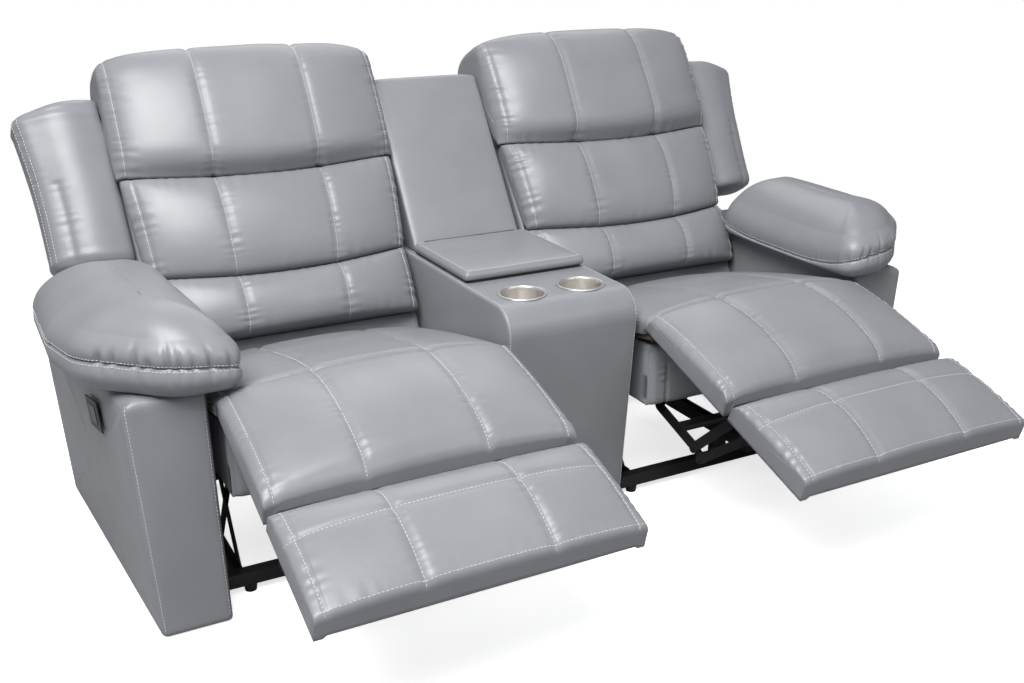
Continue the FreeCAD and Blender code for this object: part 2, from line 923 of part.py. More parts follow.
def arm_form(inset):
    """The arm's outside, or its hollow when drawn in: drafted sides that flare to the rear and a round rear corner."""

    def ring(y, flare):
        return polygon(
            [
                V(arm_x - arm_draft + inset, y, inset),
                V(arm_x - arm_draft + arm_width_bottom + flare - inset, y, inset),
                V(arm_x + arm_width_top + flare - inset, y, arm_height - inset),
                V(arm_x + inset, y, arm_height - inset),
            ]
        )

    shape = loft([ring(arm_front + inset, 0.0), ring(arm_rear - inset, arm_flare)])
    radius = arm_rear - back_pivot[0]
    rise = arm_height - back_pivot[1]
    run = math.sqrt(radius**2 - rise**2)
    bend = math.atan2(rise, run) / 2
    radius -= inset
    start = V(0, back_pivot[0] + run - inset, arm_height)
    middle = V(0, back_pivot[0] + radius * math.cos(bend), back_pivot[1] + radius * math.sin(bend))
    end = V(0, arm_rear - inset, back_pivot[1])
    corner = V(0, arm_rear + 10.0, back_pivot[1])
    above = V(0, arm_rear + 10.0, arm_height + 10.0)
    over = V(0, back_pivot[0] + run - inset, arm_height + 10.0)
    wire = Part.Wire(
        [
            Part.Arc(start, middle, end).toShape(),
            Part.makeLine(end, corner),
            Part.makeLine(corner, above),
            Part.makeLine(above, over),
            Part.makeLine(over, start),
        ]
    )
    return shape.cut(Part.Face(wire).extrude(V(2 * arm_x, 0, 0)))


def arm():
    """The upholstered arm, a closed box with rounded front edges."""
    shape = arm_form(0.0)

    def in_front(edge):
        return all(abs(vertex.Y - arm_front) < 1 for vertex in edge.Vertexes)

    upright = [e for e in shape.Edges if in_front(e) and abs(e.Vertexes[0].Z - e.Vertexes[1].Z) > 1]
    return shape.makeFillet(arm_edge, upright).cut(arm_form(arm_wall))


def arm_pillow():
    """The big pad on the arm: a boxed underside and a high crown that overhangs the front and the side."""
    wires = []
    inner = arm_x - pillow_overhang
    low = arm_height + fit
    reach = pillow_outer - inner
    steps = (
        (-398.0, -440.0, 30.0, 178.0, 0.25, 22.0),
        (-385.0, -330.0, 10.0, 110.0, 0.60, 10.0),
        (-350.0, -200.0, 2.0, 45.0, 0.85, 3.0),
        (-260.0, -90.0, 0.0, 8.0, 1.0, 0.0),
        (0.0, 80.0, 0.0, 0.0, 1.0, 0.0),
        (70.0, 170.0, 8.0, 6.0, 0.86, 2.0),
        (96.0, 205.0, 28.0, 26.0, 0.56, 12.0),
    )
    for y_in, y_out, draw_in, draw_out, swell, lift in steps:
        x0 = inner + draw_in
        x1 = pillow_outer - draw_out

        def at(x, z):
            return V(x, y_in + (y_out - y_in) * (x - inner) / reach, z)

        top = pillow_seam + (pillow_top - pillow_seam) * swell
        p = [
            at(x0 + 22.0, low + lift),
            at(x1 - 22.0, low + lift),
            at(x1, pillow_seam),
            at((x0 + x1) / 2, top),
            at(x0, pillow_seam - 4.0),
        ]
        wires.append(
            Part.Wire(
                [
                    Part.makeLine(p[0], p[1]),
                    Part.makeLine(p[1], p[2]),
                    Part.Arc(p[2], p[3], p[4]).toShape(),
                    Part.makeLine(p[4], p[0]),
                ]
            )
        )
    return loft(wires)


def arm_face(y, z):
    """The arm's outer side at a height and a depth."""
    low = arm_x - arm_draft + arm_width_bottom
    high = arm_x + arm_width_top
    return low + (high - low) * z / arm_height + arm_flare * (y - arm_front) / (arm_rear - arm_front)


def on_arm(half_y, half_z, inner, outer):
    """A block on the arm's outer side about the switch's centre, leaning with the side and higher in front."""
    c = math.cos(math.radians(plate_tilt))
    s = math.sin(math.radians(plate_tilt))

    def ring(offset):
        corners = []
        for sy, sz in ((-1, -1), (1, -1), (1, 1), (-1, 1)):
            y = plate_y + sy * half_y * c + sz * half_z * s
            z = arm_height - plate_drop - sy * half_y * s + sz * half_z * c
            corners.append(V(arm_face(y, z) + offset, y, z))
        return polygon(corners)

    return loft([ring(inner), ring(outer)])


def switch_plate():
    """The black plate of the seat's switch, with a window for its button."""
    shape = on_arm(plate_half_y, plate_half_z, fit, plate_thickness)
    window = on_arm(button_half_y + fit, button_half_z + fit, -1.0, plate_thickness + 1.0)
    return shape.cut(window)


def switch_button():
    return on_arm(button_half_y, button_half_z, fit + button_travel, plate_thickness + button_stand)


def console_outline(inset):
    """The console's side outline, drawn in by an inset: a front that leans in to its foot and a round nose."""
    front_low = (console_front_bottom + inset, inset)
    front_high = (console_front_top + inset, console_height - console_nose_drop)
    top_front = (console_front_top + console_nose, console_height - inset)
    bend = (
        console_front_top + inset + console_nose * 0.22,
        console_height - inset - console_nose_drop * 0.22,
    )
    return front_low, front_high, bend, top_front


def console_body():
    """Side panels with the round nose, the front panel bent to match, the rear panel and the floor."""
    low, high, bend, top = console_outline(0.0)
    x0 = console_half - panel
    edges = [
        Part.makeLine(point(x0, (console_rear, 0)), point(x0, low)),
        Part.makeLine(point(x0, low), point(x0, high)),
        Part.Arc(point(x0, high), point(x0, bend), point(x0, top)).toShape(),
        Part.makeLine(point(x0, top), point(x0, (console_rear, console_height))),
        Part.makeLine(point(x0, (console_rear, console_height)), point(x0, (console_rear, 0))),
    ]
    side = Part.Face(Part.Wire(edges)).extrude(V(panel, 0, 0))
    solids = [side, side.mirror(V(0, 0, 0), V(1, 0, 0))]
    low_in, high_in, bend_in, top_in = console_outline(panel)
    low_in = (low[0] + panel, 0.0)
    top_in = (top[0], console_height - panel)
    edges = [
        Part.makeLine(point(-x0, low), point(-x0, high)),
        Part.Arc(point(-x0, high), point(-x0, bend), point(-x0, top)).toShape(),
        Part.makeLine(point(-x0, top), point(-x0, top_in)),
        Part.Arc(point(-x0, top_in), point(-x0, bend_in), point(-x0, high_in)).toShape(),
        Part.makeLine(point(-x0, high_in), point(-x0, low_in)),
        Part.makeLine(point(-x0, low_in), point(-x0, low)),
    ]
    solids.append(Part.Face(Part.Wire(edges)).extrude(V(2 * x0, 0, 0)))
    deck_low = console_height - deck_thickness
    solids.append(block(-x0, x0, console_rear - panel, console_rear, 0, deck_low))
    solids.append(block(-x0, x0, low_in[0] + 1.0, console_rear - panel, 0, panel))
    return solids


def console_deck():
    """The console's top board with the well for the tub and the two cup holes."""
    x0 = console_half - panel
    front = console_front_top + console_nose
    shape = block(-x0, x0, front, console_rear, console_height - deck_thickness, console_height)
    low = console_height - deck_thickness - 1
    high = console_height + 1
    well = block(-well_half, well_half, well_front, well_rear, low, high)
    shape = shape.cut(well)
    for side in (-1, 1):
        shape = shape.cut(Part.makeCylinder(cup_radius + fit, deck_thickness + 2, V(side * cup_x, cup_y, low)))
    return shape


def console_tub():
    """The storage tub that hangs in the well by its flange."""
    top = console_height + 2.0
    low = console_height - tub_depth
    out = well_half - fit
    front = well_front + fit
    rear = well_rear - fit
    shape = block(-out, out, front, rear, low, top)
    flange = block(
        -out - tub_flange, out + tub_flange, front - tub_flange, rear + tub_flange, console_height, top
    )
    shape = shape.fuse(flange)
    inside = block(-out + tub_wall, out - tub_wall, front + tub_wall, rear - tub_wall, low + tub_wall, top + 1)
    return shape.cut(inside).removeSplitter()


def cup_holder(side):
    """A spun steel cup: a rolled rim on the deck, a straight wall and a rounded floor."""
    z = console_height
    r = cup_radius
    t = cup_wall
    low = z - cup_depth
    round_in = 8.0
    profile = [
        V(0, 0, low),
        V(r - round_in, 0, low),
        V(r - 0.3 * round_in, 0, low + 0.3 * round_in),
        V(r, 0, low + round_in),
        V(r, 0, z),
        V(cup_rim, 0, z),
        V(cup_rim, 0, z + 1.4),
        V(cup_rim - 3.0, 0, z + 3.2),
        V(r - t + 3.0, 0, z + 3.2),
        V(r - t, 0, z + 0.4),
        V(r - t, 0, low + round_in),
        V(r - 0.3 * round_in - t, 0, low + 0.3 * round_in + t),
        V(r - round_in, 0, low + t),
        V(0, 0, low + t),
    ]
    cup = Part.Face(polygon(profile)).revolve(V(0, 0, 0), V(0, 0, 1), 360)
    cup.translate(V(side * cup_x, cup_y, 0))
    return cup


def lid_outline(z, inset):
    """The lid's plan with its two rounded front corners."""
    half = lid_half - inset
    front = lid_front + inset
    rear = lid_rear - inset
    r = lid_nose
    k = r * (1.0 - math.sqrt(0.5))
    return Part.Wire(
        [
            Part.makeLine(V(half, rear, z), V(-half, rear, z)),
            Part.makeLine(V(-half, rear, z), V(-half, front + r, z)),
            Part.Arc(V(-half, front + r, z), V(-half + k, front + k, z), V(-half + r, front, z)).toShape(),
            Part.makeLine(V(-half + r, front, z), V(half - r, front, z)),
            Part.Arc(V(half - r, front, z), V(half - k, front + k, z), V(half, front + r, z)).toShape(),
            Part.makeLine(V(half, front + r, z), V(half, rear, z)),
        ]
    )


lid_low = console_height + 2.0 + fit
lid_top = lid_low + lid_board_thickness + lid_pad_thickness
hinge_line = (lid_rear + 3.4, lid_top - 5.0)
hinge_rod = 1.5


def lid_board():
    """The lid's board, with the moving leaf of its hinge on the rear edge."""
    shape = Part.Face(lid_outline(lid_low, 4.0)).extrude(V(0, 0, lid_board_thickness))
    half = lid_half - 30.0
    leaf = block(-half, half, lid_rear - 4.0, lid_rear + 1.5, lid_low, lid_low + lid_board_thickness)
    riser = block(-half, half, lid_rear + fit, lid_rear + 1.5, lid_low, hinge_line[1] - 1.0)
    bridge = block(-half, half, lid_rear + fit, hinge_line[0], hinge_line[1] - 1.0, hinge_line[1] + 1.0)
    sleeve = rod(hinge_line, hinge_rod + 1.2, -half, half)
    shape = shape.fuse(leaf).fuse(riser).fuse(bridge).fuse(sleeve)
    return shape.cut(rod(hinge_line, hinge_rod + running, -half - 1, half + 1)).removeSplitter()


def lid_hinge():
    """The hinge rod and the two fixed ears that stand on the deck at its ends."""
    half = lid_half - 30.0
    ear = 5.0
    shape = rod(hinge_line, hinge_rod, -half - ear, half + ear)
    y0 = hinge_line[0] - hinge_rod - 1.2
    y1 = console_back_foot - fit
    for x0 in (half + fit, -half - ear):
        post = block(x0, x0 + ear - fit, y0, y1, console_height, console_height + 4.0)
        upright = block(x0, x0 + ear - fit, y0, y0 + 5.0, console_height, hinge_line[1] + 1.8)
        shape = shape.fuse(post).fuse(upright)
    return shape.removeSplitter()


def lid_pad():
    """The lid's padded top: crowned, with a rounded front edge."""
    low = lid_low + lid_board_thickness + fit
    steps = ((low, 3.0), (low + 7.0, 0.0), (lid_top - 6.0, 0.0), (lid_top - 1.5, 5.0), (lid_top, 14.0))
    return loft([lid_outline(z, inset) for z, inset in steps])


def console_back():
    """The padded panel behind the console, which stands on its deck between the two backs."""
    wires = []
    foot_y, foot_z = console_lean(0, 0)
    lean = math.tan(math.radians(console_back_lean))
    for share in (-1.0, -0.95, -0.6, 0.0, 0.6, 0.95, 1.0):
        full = lateral(share, 1.0)
        draw = 10.0 * (1.0 - full)
        crown = 9.0 * full
        rear_y, rear_z = console_lean(console_back_length - draw, -console_back_thickness)
        rear_foot = rear_y - (rear_z - foot_z) * lean
        p = [
            (foot_y + draw * 0.6, foot_z),
            console_lean(console_back_length / 2, crown - draw * 0.5),
            console_lean(console_back_length - draw - 14.0, crown * 0.4 - draw * 0.5),
            console_lean(console_back_length - draw, -console_back_thickness / 2),
            (rear_y, rear_z),
            (rear_foot, foot_z),
        ]
        q = [point(share * console_back_half, s) for s in p]
        wires.append(
            Part.Wire(
                [
                    Part.Arc(q[0], q[1], q[2]).toShape(),
                    Part.Arc(q[2], q[3], q[4]).toShape(),
                    Part.makeLine(q[4], q[5]),
                    Part.makeLine(q[5], q[0]),
                ]
            )
        )
    return loft(wires)


def thigh_pad():
    return leg_pad(fit, thigh_length - fit, 0.0, 0.0)


# Every piece of the right half, by name
halves = {
    "arm": arm,
    "arm_pillow": arm_pillow,
    "switch_button": switch_button,
    "base_frame": base_frame,
    "side_plates": side_plates,
    "seat_frame": seat_frame,
    "seat_cushion": seat_cushion,
    "seat_bolster": bolster,
    "thigh_pad": thigh_pad,
    "calf_pan": calf_pan,
    "calf_pad": calf_pad,
    "foot_pan": foot_pan,
    "foot_pad": foot_pad,
    "long_links": long_links,
    "coupler_links": coupler_links,
    "tie_links": tie_links,
    "actuator": actuator,
    "carriage": carriage,
    "back_frame": back_frame,
    "back_cover": back_cover,
    "lumbar_pad": lumbar_pad,
    "middle_pad": middle_pad,
    "head_pad": head_pad,
    "wing": wing,
}

singles = {
    "console_body": console_body,
    "console_deck": console_deck,
    "console_tub": console_tub,
    "console_back": console_back,
    "cup_holders": lambda: [cup_holder(-1), cup_holder(1)],
    "lid_board": lid_board,
    "lid_hinge": lid_hinge,
    "lid_pad": lid_pad,
    "glides": glides,
    "switch_plates": lambda: [switch_plate(), switch_plate().mirror(V(0, 0, 0), V(1, 0, 0))],
}


def save(name, shapes):
    """Write a node's solids to its own file."""
    shapes = shapes if isinstance(shapes, list) else [shapes]
    solids = [solid for shape in shapes for solid in shape.Solids]
    for solid in solids:
        if not solid.isValid() or solid.Volume <= 0:
            print("check", name, solid.isValid(), solid.Volume)
    whole = solids[0] if len(solids) == 1 else Part.makeCompound(solids)
    whole.exportStep(os.path.join("parts", name + ".step"))


os.makedirs("parts", exist_ok=True)
for name, make in halves.items():
    right = make()
    right = right if isinstance(right, list) else [right]
    save("right_" + name, right)
    save("left_" + name, [shape.mirror(V(0, 0, 0), V(1, 0, 0)) for shape in right])
for name, make in singles.items():
    save(name, make())

# Where the leg rest's pins are, and how far its bars turn while it closes
closed = leg_slope + leg_close
knee_closed = along_slope(fold, calf_length, leg_close)
elbow_closed = along_slope(crank_pivot, calf_length, leg_close)
tail_closed = along_slope(elbow_closed, tail_length, tail_angle + leg_close)
foot_frame = slope_frame(knee_closed, leg_slope + foot_close)
tip_closed = foot_frame(tie_forward, -tie_below)


def heading(a, b):
    return math.degrees(math.atan2(b[1] - a[1], b[0] - a[0]))


tie_turn = heading(tail_closed, tip_closed) - heading(tail, foot_point())
print("fold", fold, "knee", knee, "crank", crank_pivot, "elbow", elbow, "tail", tail, "drive", drive)
print("tie turn", tie_turn, "relative to the crank", tie_turn - leg_close)
tie_rest = math.dist(tail, foot_point())
print("tie length", tie_rest, "when closed", math.dist(tail_closed, tip_closed))
drive_closed = along_slope(crank_pivot, drive_radius, leg_close)
print("drive travel", drive_closed[0] - drive[0], "hinge line of the lid", hinge_line)
print("seat centre", seat_x, "arm inner side", arm_x)
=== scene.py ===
import math

import bmesh
import bpy
import numpy as np
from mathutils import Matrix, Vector


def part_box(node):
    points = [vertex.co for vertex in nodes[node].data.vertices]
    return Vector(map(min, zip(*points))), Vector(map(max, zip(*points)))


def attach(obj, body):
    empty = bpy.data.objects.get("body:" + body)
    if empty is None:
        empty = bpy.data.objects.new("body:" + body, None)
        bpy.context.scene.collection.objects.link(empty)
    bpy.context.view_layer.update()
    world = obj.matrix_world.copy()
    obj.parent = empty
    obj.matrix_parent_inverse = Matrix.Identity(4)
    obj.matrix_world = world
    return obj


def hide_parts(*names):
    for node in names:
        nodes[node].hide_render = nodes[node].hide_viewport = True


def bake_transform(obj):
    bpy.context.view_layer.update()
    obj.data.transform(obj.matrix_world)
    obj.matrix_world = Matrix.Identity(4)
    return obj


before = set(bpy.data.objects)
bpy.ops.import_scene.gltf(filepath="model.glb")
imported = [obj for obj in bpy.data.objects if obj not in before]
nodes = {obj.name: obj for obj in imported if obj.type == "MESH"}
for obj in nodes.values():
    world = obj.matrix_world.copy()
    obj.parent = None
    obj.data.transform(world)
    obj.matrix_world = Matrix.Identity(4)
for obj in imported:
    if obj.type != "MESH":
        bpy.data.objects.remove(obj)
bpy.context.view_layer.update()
print("frame loaded")

# Lengths are millimetres until a mesh is made
mm = 0.001

# Frames of the seats and the console, as in the frame's own construction
layout = {
    "seatX": 471.0,
    "half": 297.0,
    "stitch": 116.0,
    "legRoot": (-322.0, 448.0),
    "legSlope": 19.0,
    "thigh": 150.0,
    "calf": 150.0,
    "foot": 245.0,
    "deckFront": (-333.0, 424.0),
    "deckSlope": 10.9,
    "deckLength": 408.0,
    "backPivot": (150.0, 330.0),
    "backLean": 30.0,
    "consoleLean": 33.5,
}
sides = (("left", -1, 100), ("right", 1, 500))


def legPoint(forward, out):
    angle = math.radians(layout["legSlope"])
    y, z = layout["legRoot"]
    return (
        y - forward * math.cos(angle) - out * math.sin(angle),
        z - forward * math.sin(angle) + out * math.cos(angle),
    )


def seatPoint(back, out):
    angle = math.radians(layout["deckSlope"])
    y, z = layout["deckFront"]
    return (
        y + back * math.cos(angle) + out * math.sin(angle),
        z - back * math.sin(angle) + out * math.cos(angle),
    )


def backPoint(up, front):
    angle = math.radians(layout["backLean"])
    y, z = layout["backPivot"]
    return (
        y + up * math.sin(angle) - front * math.cos(angle),
        z + up * math.cos(angle) + front * math.sin(angle),
    )


# Numbers and lines

def lerp(a, b, share):
    return a + (b - a) * share


def unit(value):
    return np.clip(value, 0.0, 1.0)


# A smooth hump, 1 at 0 and nearly 0 at twice its width
def bell(x, width):
    return np.exp(-((x / width) ** 2))


# Evenly spaced values without the last one
def arange(start, end, count):
    return start + (end - start) * np.arange(count) / count


# Distance along a line at each of its points
def runOf(line):
    return np.concatenate([[0.0], np.cumsum(np.linalg.norm(np.diff(line, axis=0), axis=1))])


def readAt(line, run, at):
    return np.stack([np.interp(at, run, line[:, k]) for k in range(line.shape[1])], 1)


# A closed outline read at equal distances
def evenly(outline, count):
    loop = np.vstack([outline, outline[:1]])
    run = runOf(loop)
    return readAt(loop, run, np.arange(count) / count * run[-1])


# An open line with round corners, read at equal distances
def openPath(corners, radii, count):
    line = rounded(corners, radii, 3.0)
    run = runOf(line)
    return readAt(line, run, np.linspace(0.0, run[-1], count))


# A smooth line through knots, read at shares of its length
def spline(knots, turn):
    knots = np.asarray(knots, float)
    padded = np.vstack([2 * knots[0] - knots[1], knots, 2 * knots[-1] - knots[-2]])
    fine = []
    for i in range(len(knots) - 1):
        p0, p1, p2, p3 = padded[i:i + 4]
        for t in np.linspace(0, 1, 12, endpoint=False):
            square = 2 * p0 - 5 * p1 + 4 * p2 - p3
            cube = 3 * p1 - p0 - 3 * p2 + p3
            fine.append(0.5 * (2 * p1 + (p2 - p0) * t + square * t**2 + cube * t**3))
    fine = np.asarray(fine + [knots[-1]])
    run = runOf(fine)
    return readAt(fine, run, np.asarray(turn) * run[-1])


# A closed outline with round corners, as points about step apart
def rounded(points, radii, step=4.0):
    points = [np.asarray(p, float) for p in points]
    out = []
    for i, here in enumerate(points):
        toBefore = points[i - 1] - here
        toAfter = points[(i + 1) % len(points)] - here
        a = toBefore / np.linalg.norm(toBefore)
        b = toAfter / np.linalg.norm(toAfter)
        angle = math.acos(max(-1.0, min(1.0, float(a @ b))))
        if radii[i] <= 0 or angle > math.pi - 0.02:
            out.append(here)
            continue
        room = 0.48 * min(np.linalg.norm(toBefore), np.linalg.norm(toAfter))
        reach = min(radii[i] / math.tan(angle / 2), room)
        radius = reach * math.tan(angle / 2)
        middle = (a + b) / np.linalg.norm(a + b)
        centre = here + middle * radius / math.sin(angle / 2)
        v0 = here + a * reach - centre
        v1 = here + b * reach - centre
        sweep = math.pi - angle
        steps = max(2, int(radius * sweep / step))
        for t in np.arange(steps + 1) / steps:
            turned = v0 * math.sin((1 - t) * sweep) + v1 * math.sin(t * sweep)
            out.append(centre + turned / math.sin(sweep))
    return np.asarray(out)


# A closed outline moved inward along its normals
def inset(outline, amount):
    ahead = np.roll(outline, -1, 0)
    tangent = ahead - np.roll(outline, 1, 0)
    tangent /= np.linalg.norm(tangent, axis=1)[:, None] + 1e-9
    normal = np.stack([-tangent[:, 1], tangent[:, 0]], 1)
    area = 0.5 * np.sum(outline[:, 0] * ahead[:, 1] - ahead[:, 0] * outline[:, 1])
    return outline + (normal if area >= 0 else -normal) * amount


# Unevenness of soft surfaces

# Uneven small folds along a seam, from -1 to 1
def ripple(along, seed, wave):
    draw = np.random.default_rng(seed)
    a, b, c = draw.uniform(0, 2 * math.pi, 3)
    bend = 1.4 * np.sin(2 * math.pi * along / (wave * 3.7) + a)
    swell = 0.55 + 0.45 * np.sin(2 * math.pi * along / (wave * 5.3) + b)
    return np.sin(2 * math.pi * along / wave + bend + c) * swell


# A slow unevenness over a surface
def sway(x, y, seed, wave=160.0):
    draw = np.random.default_rng(seed)
    total = 0.0
    for turn in range(3):
        angle = draw.uniform(0, math.pi)
        phase = draw.uniform(0, 2 * math.pi)
        length = wave * (1.0 + 0.6 * turn)
        run = x * math.cos(angle) + y * math.sin(angle)
        total = total + np.sin(2 * math.pi * run / length + phase) / 3
    return total


# Depth of the sewn channels at a place across
def channel(dx, stitch, depth, width):
    total = 0.0
    for seam in (-stitch, stitch):
        total += depth * bell(dx - seam, width)
        total += depth * 0.35 * math.exp(-abs(dx - seam) / (width * 3.0))
    return total


# Small folds beside the sewn channels
def channelFolds(dx, stitch, along, seed, wave):
    total = 0.0
    for index, seam in enumerate((-stitch, stitch)):
        total = total + bell(abs(dx - seam) - 6.0, 16.0) * ripple(along, seed + index, wave)
    return total


# How far a surface falls near its edge, as a quarter ellipse
def roundOver(distance, radius, depth):
    share = unit(1.0 - np.asarray(distance, float) / radius)
    return depth * (1.0 - np.sqrt(1.0 - share**2))


# How full a cushion is across its width: 1 in the middle and 0 at its side seams
def full(dx, half, power=2.0):
    share = min(1.0, abs(dx) / half)
    return (1.0 - share**power) ** (1.0 / power)


# Places across a cushion, closer together at its sides, with columns on the sewn channels
def across(half, stitch, count):
    places = half * np.sin(np.linspace(-math.pi / 2, math.pi / 2, count))
    for seam in (-stitch, stitch):
        places[np.argmin(np.abs(places - seam))] = seam
    return places


def column(places, at):
    return int(np.argmin(np.abs(np.asarray(places) - at)))


# Shapes from grids

def placed(name, mesh, made, smooth=True):
    bmesh.ops.recalc_face_normals(made, faces=made.faces)
    made.to_mesh(mesh)
    made.free()
    mesh.polygons.foreach_set("use_smooth", [smooth] * len(mesh.polygons))
    obj = bpy.data.objects.new(name, mesh)
    bpy.context.scene.collection.objects.link(obj)
    return obj


# A mesh object from points in millimetres, with its normals outward
def meshObject(name, verts, faces, smooth=True):
    mesh = bpy.data.meshes.new(name)
    mesh.from_pydata([tuple(p) for p in np.asarray(verts, float) * mm], [], faces)
    made = bmesh.new()
    made.from_mesh(mesh)
    return placed(name, mesh, made, smooth)


# Faces between two lines of vertex numbers
def quads(a, b):
    a = [int(v) for v in a]
    b = [int(v) for v in b]
    return [(a[j], b[j], b[j + 1], a[j + 1]) for j in range(len(a) - 1)]


def closed(ids):
    return np.append(ids, ids[0])


# A closed body from rings of equal length, with crowned caps at both ends, and the rings' vertices
def bodied(name, rings, capSteps=5, bulge=0.0):
    rings = np.asarray(rings, float)
    count, around, _ = rings.shape
    verts = [p for ring in rings for p in ring]
    index = np.arange(count * around).reshape(count, around)
    faces = []
    for i in range(count - 1):
        faces += quads(closed(index[i]), closed(index[i + 1]))
    for end, inner in ((0, 1), (count - 1, count - 2)):
        ring = rings[end]
        centre = ring.mean(0)
        outward = centre - rings[inner].mean(0)
        outward /= np.linalg.norm(outward)
        last = index[end]
        for step in range(1, capSteps + 1):
            share = step / (capSteps + 0.6)
            row = np.arange(len(verts), len(verts) + around)
            verts.extend(lerp(ring, centre, share) + outward * bulge * math.sin(share * math.pi / 2))
            faces += quads(closed(last), closed(row))
            last = row
        tip = len(verts)
        verts.append(centre + outward * bulge)
        loop = [int(v) for v in closed(last)]
        faces += [(loop[j], loop[j + 1], tip) for j in range(around)]
    return meshObject(name, verts, faces), index


# An upholstered box: an outline carried from x0 to x1 with rounded edges. place gives each point
def wrapped(name, outline, x0, x1, radius, place, count, middle):
    outline = evenly(np.asarray(outline, float), count)
    width = x1 - x0
    turns = np.linspace(0.0, math.pi / 2, 8)
    edge = [(radius * (1 - math.cos(t)), radius * (1 - math.sin(t))) for t in turns]
    spots = edge + [(x, 0.0) for x in np.linspace(radius, width - radius, middle + 2)[1:-1]]
    spots += [(width - x, drop) for x, drop in reversed(edge)]
    rings = [[place(x0 + x, p) for p in inset(outline, drop)] for x, drop in spots]
    return bodied(name, rings, capSteps=6)


# A ring of a pad: its floor from the end to the start, a wall, the top line and the other wall.
# base is (start, end, height) and top the points of the face, from start to end
def panelRing(point, base, top, skirt):
    walls = 5
    floor = 8
    a0, a1, low = base
    ring = [(a1, low - skirt), (lerp(a1, a0, 0.03), low - skirt)]
    ring += [(lerp(a1, a0, share), low) for share in arange(0.04, 1, floor - 2)]
    first = top[0]
    last = top[-1]
    for share in arange(0, 1, walls):
        ring.append((lerp(a0, first[0], share), lerp(low, first[1], share)))
    ring.extend(top)
    for share in arange(0, 1, walls)[1:]:
        ring.append((lerp(last[0], a1, share), lerp(last[1], low - skirt, share)))
    return [point(a, o) for a, o in ring], floor + walls


# What a pad has unless its own spec says otherwise
padUsual = {
    "half": layout["half"], "stitch": layout["stitch"], "point": legPoint, "rows": 64,
    "edgePucker": 1.0, "endPucker": 1.0, "lean": 0.0, "wrap": 0.0, "skirt": 0.0,
    "spread": (0.0, 0.0, 1.0),
}


# A sewn pad, with its face grid and the places of its columns. In spec, start and end give the two
# edges of the face at a place across, and height its height over the frame
def crownedPad(name, side, seed, spec):
    spec = {**padUsual, **spec}
    half = spec["half"]
    stitch = spec["stitch"]
    rows = spec["rows"]
    places = across(half, stitch, 110)
    share = np.linspace(0.0, 1.0, rows)
    spread, spreadLow, spreadHigh = spec["spread"]
    rings = []
    for dx in places:
        fill = full(dx, half, 2.2)
        a0 = spec["start"](dx, fill)
        a1 = spec["end"](dx, fill)
        along = a0 + (a1 - a0) * share
        fromStart = share * abs(a1 - a0)
        fromEnd = (1 - share) * abs(a1 - a0)
        height = spec["height"](dx, fill, share, along)
        height = height - roundOver(fromStart, *spec["startEdge"])
        height = height - roundOver(fromEnd, *spec["endEdge"])
        height = height - channel(dx, stitch, spec["channel"], spec["channelWidth"])
        height = height + spec["pucker"] * channelFolds(dx, stitch, along, seed, 17.0)
        edge = max(0.0, 1.0 - (half - abs(dx)) / 45.0)
        height = height + spec["edgePucker"] * edge * ripple(along, seed + 5, 24.0)
        for end, distance in ((6, fromStart), (7, fromEnd)):
            fold = bell(distance, 26.0) * ripple(dx, seed + end, 26.0) * fill
            height = height + spec["endPucker"] * fold
        height = height + 1.2 * sway(dx, along, seed + 9) * fill
        height = height - 2.4 * bell(abs(dx) - half + 20.0, 3.5)
        near = bell(fromStart if spec["lean"] > 0 else fromEnd, 34.0)
        top = list(zip(along + spec["lean"] * np.maximum(0.0, height - 3.0) * near, height))
        baseStart, baseEnd, low = spec["base"](dx)
        wrap = spec["wrap"] * float(unit((abs(dx) - half + 21.0) / 4.0))
        skirt = max(0.0, spec["skirt"] - wrap)
        ring, first = panelRing(spec["point"], (baseStart, baseEnd, low - wrap), top, skirt)
        row = []
        for y, z in ring:
            up = min(1.0, max(0.0, (z - spreadLow) / (spreadHigh - spreadLow)))
            row.append((side * (layout["seatX"] + dx * (1.0 + spread * up)), y, z))
        rings.append(row)
    obj, index = bodied(name, rings, bulge=4.0)
    return obj, index[:, first:first + rows], places


# Threads

thread = {"pitch": 7.5, "length": 5.4, "radius": 0.6, "lift": 0.3, "around": 6}
threadSections = ((0.0, 0.45, 0.7), (0.22, 1.0, 0.0), (0.78, 1.0, 0.0), (1.0, 0.45, 0.7))


def vectors(obj, field):
    values = np.zeros(len(obj.data.vertices) * 3, np.float32)
    obj.data.vertices.foreach_get(field, values)
    return values.reshape(-1, 3)


# Points and normals in metres of a line of vertices, moved sideways by shift
def threadLine(obj, ids, shift=0.0):
    points = vectors(obj, "co")[ids].astype(float)
    normals = vectors(obj, "normal")[ids].astype(float)
    if shift:
        wide = np.cross(normals, np.gradient(points, axis=0))
        wide /= np.linalg.norm(wide, axis=1)[:, None] + 1e-9
        points = points + wide * shift * mm
    return points, normals


# Thread lines down a pad's face, in pairs at equal distances from its middle
def sewn(obj, face, places, *seams):
    return [threadLine(obj, face[column(places, at)]) for seam in seams for at in (-seam, seam)]


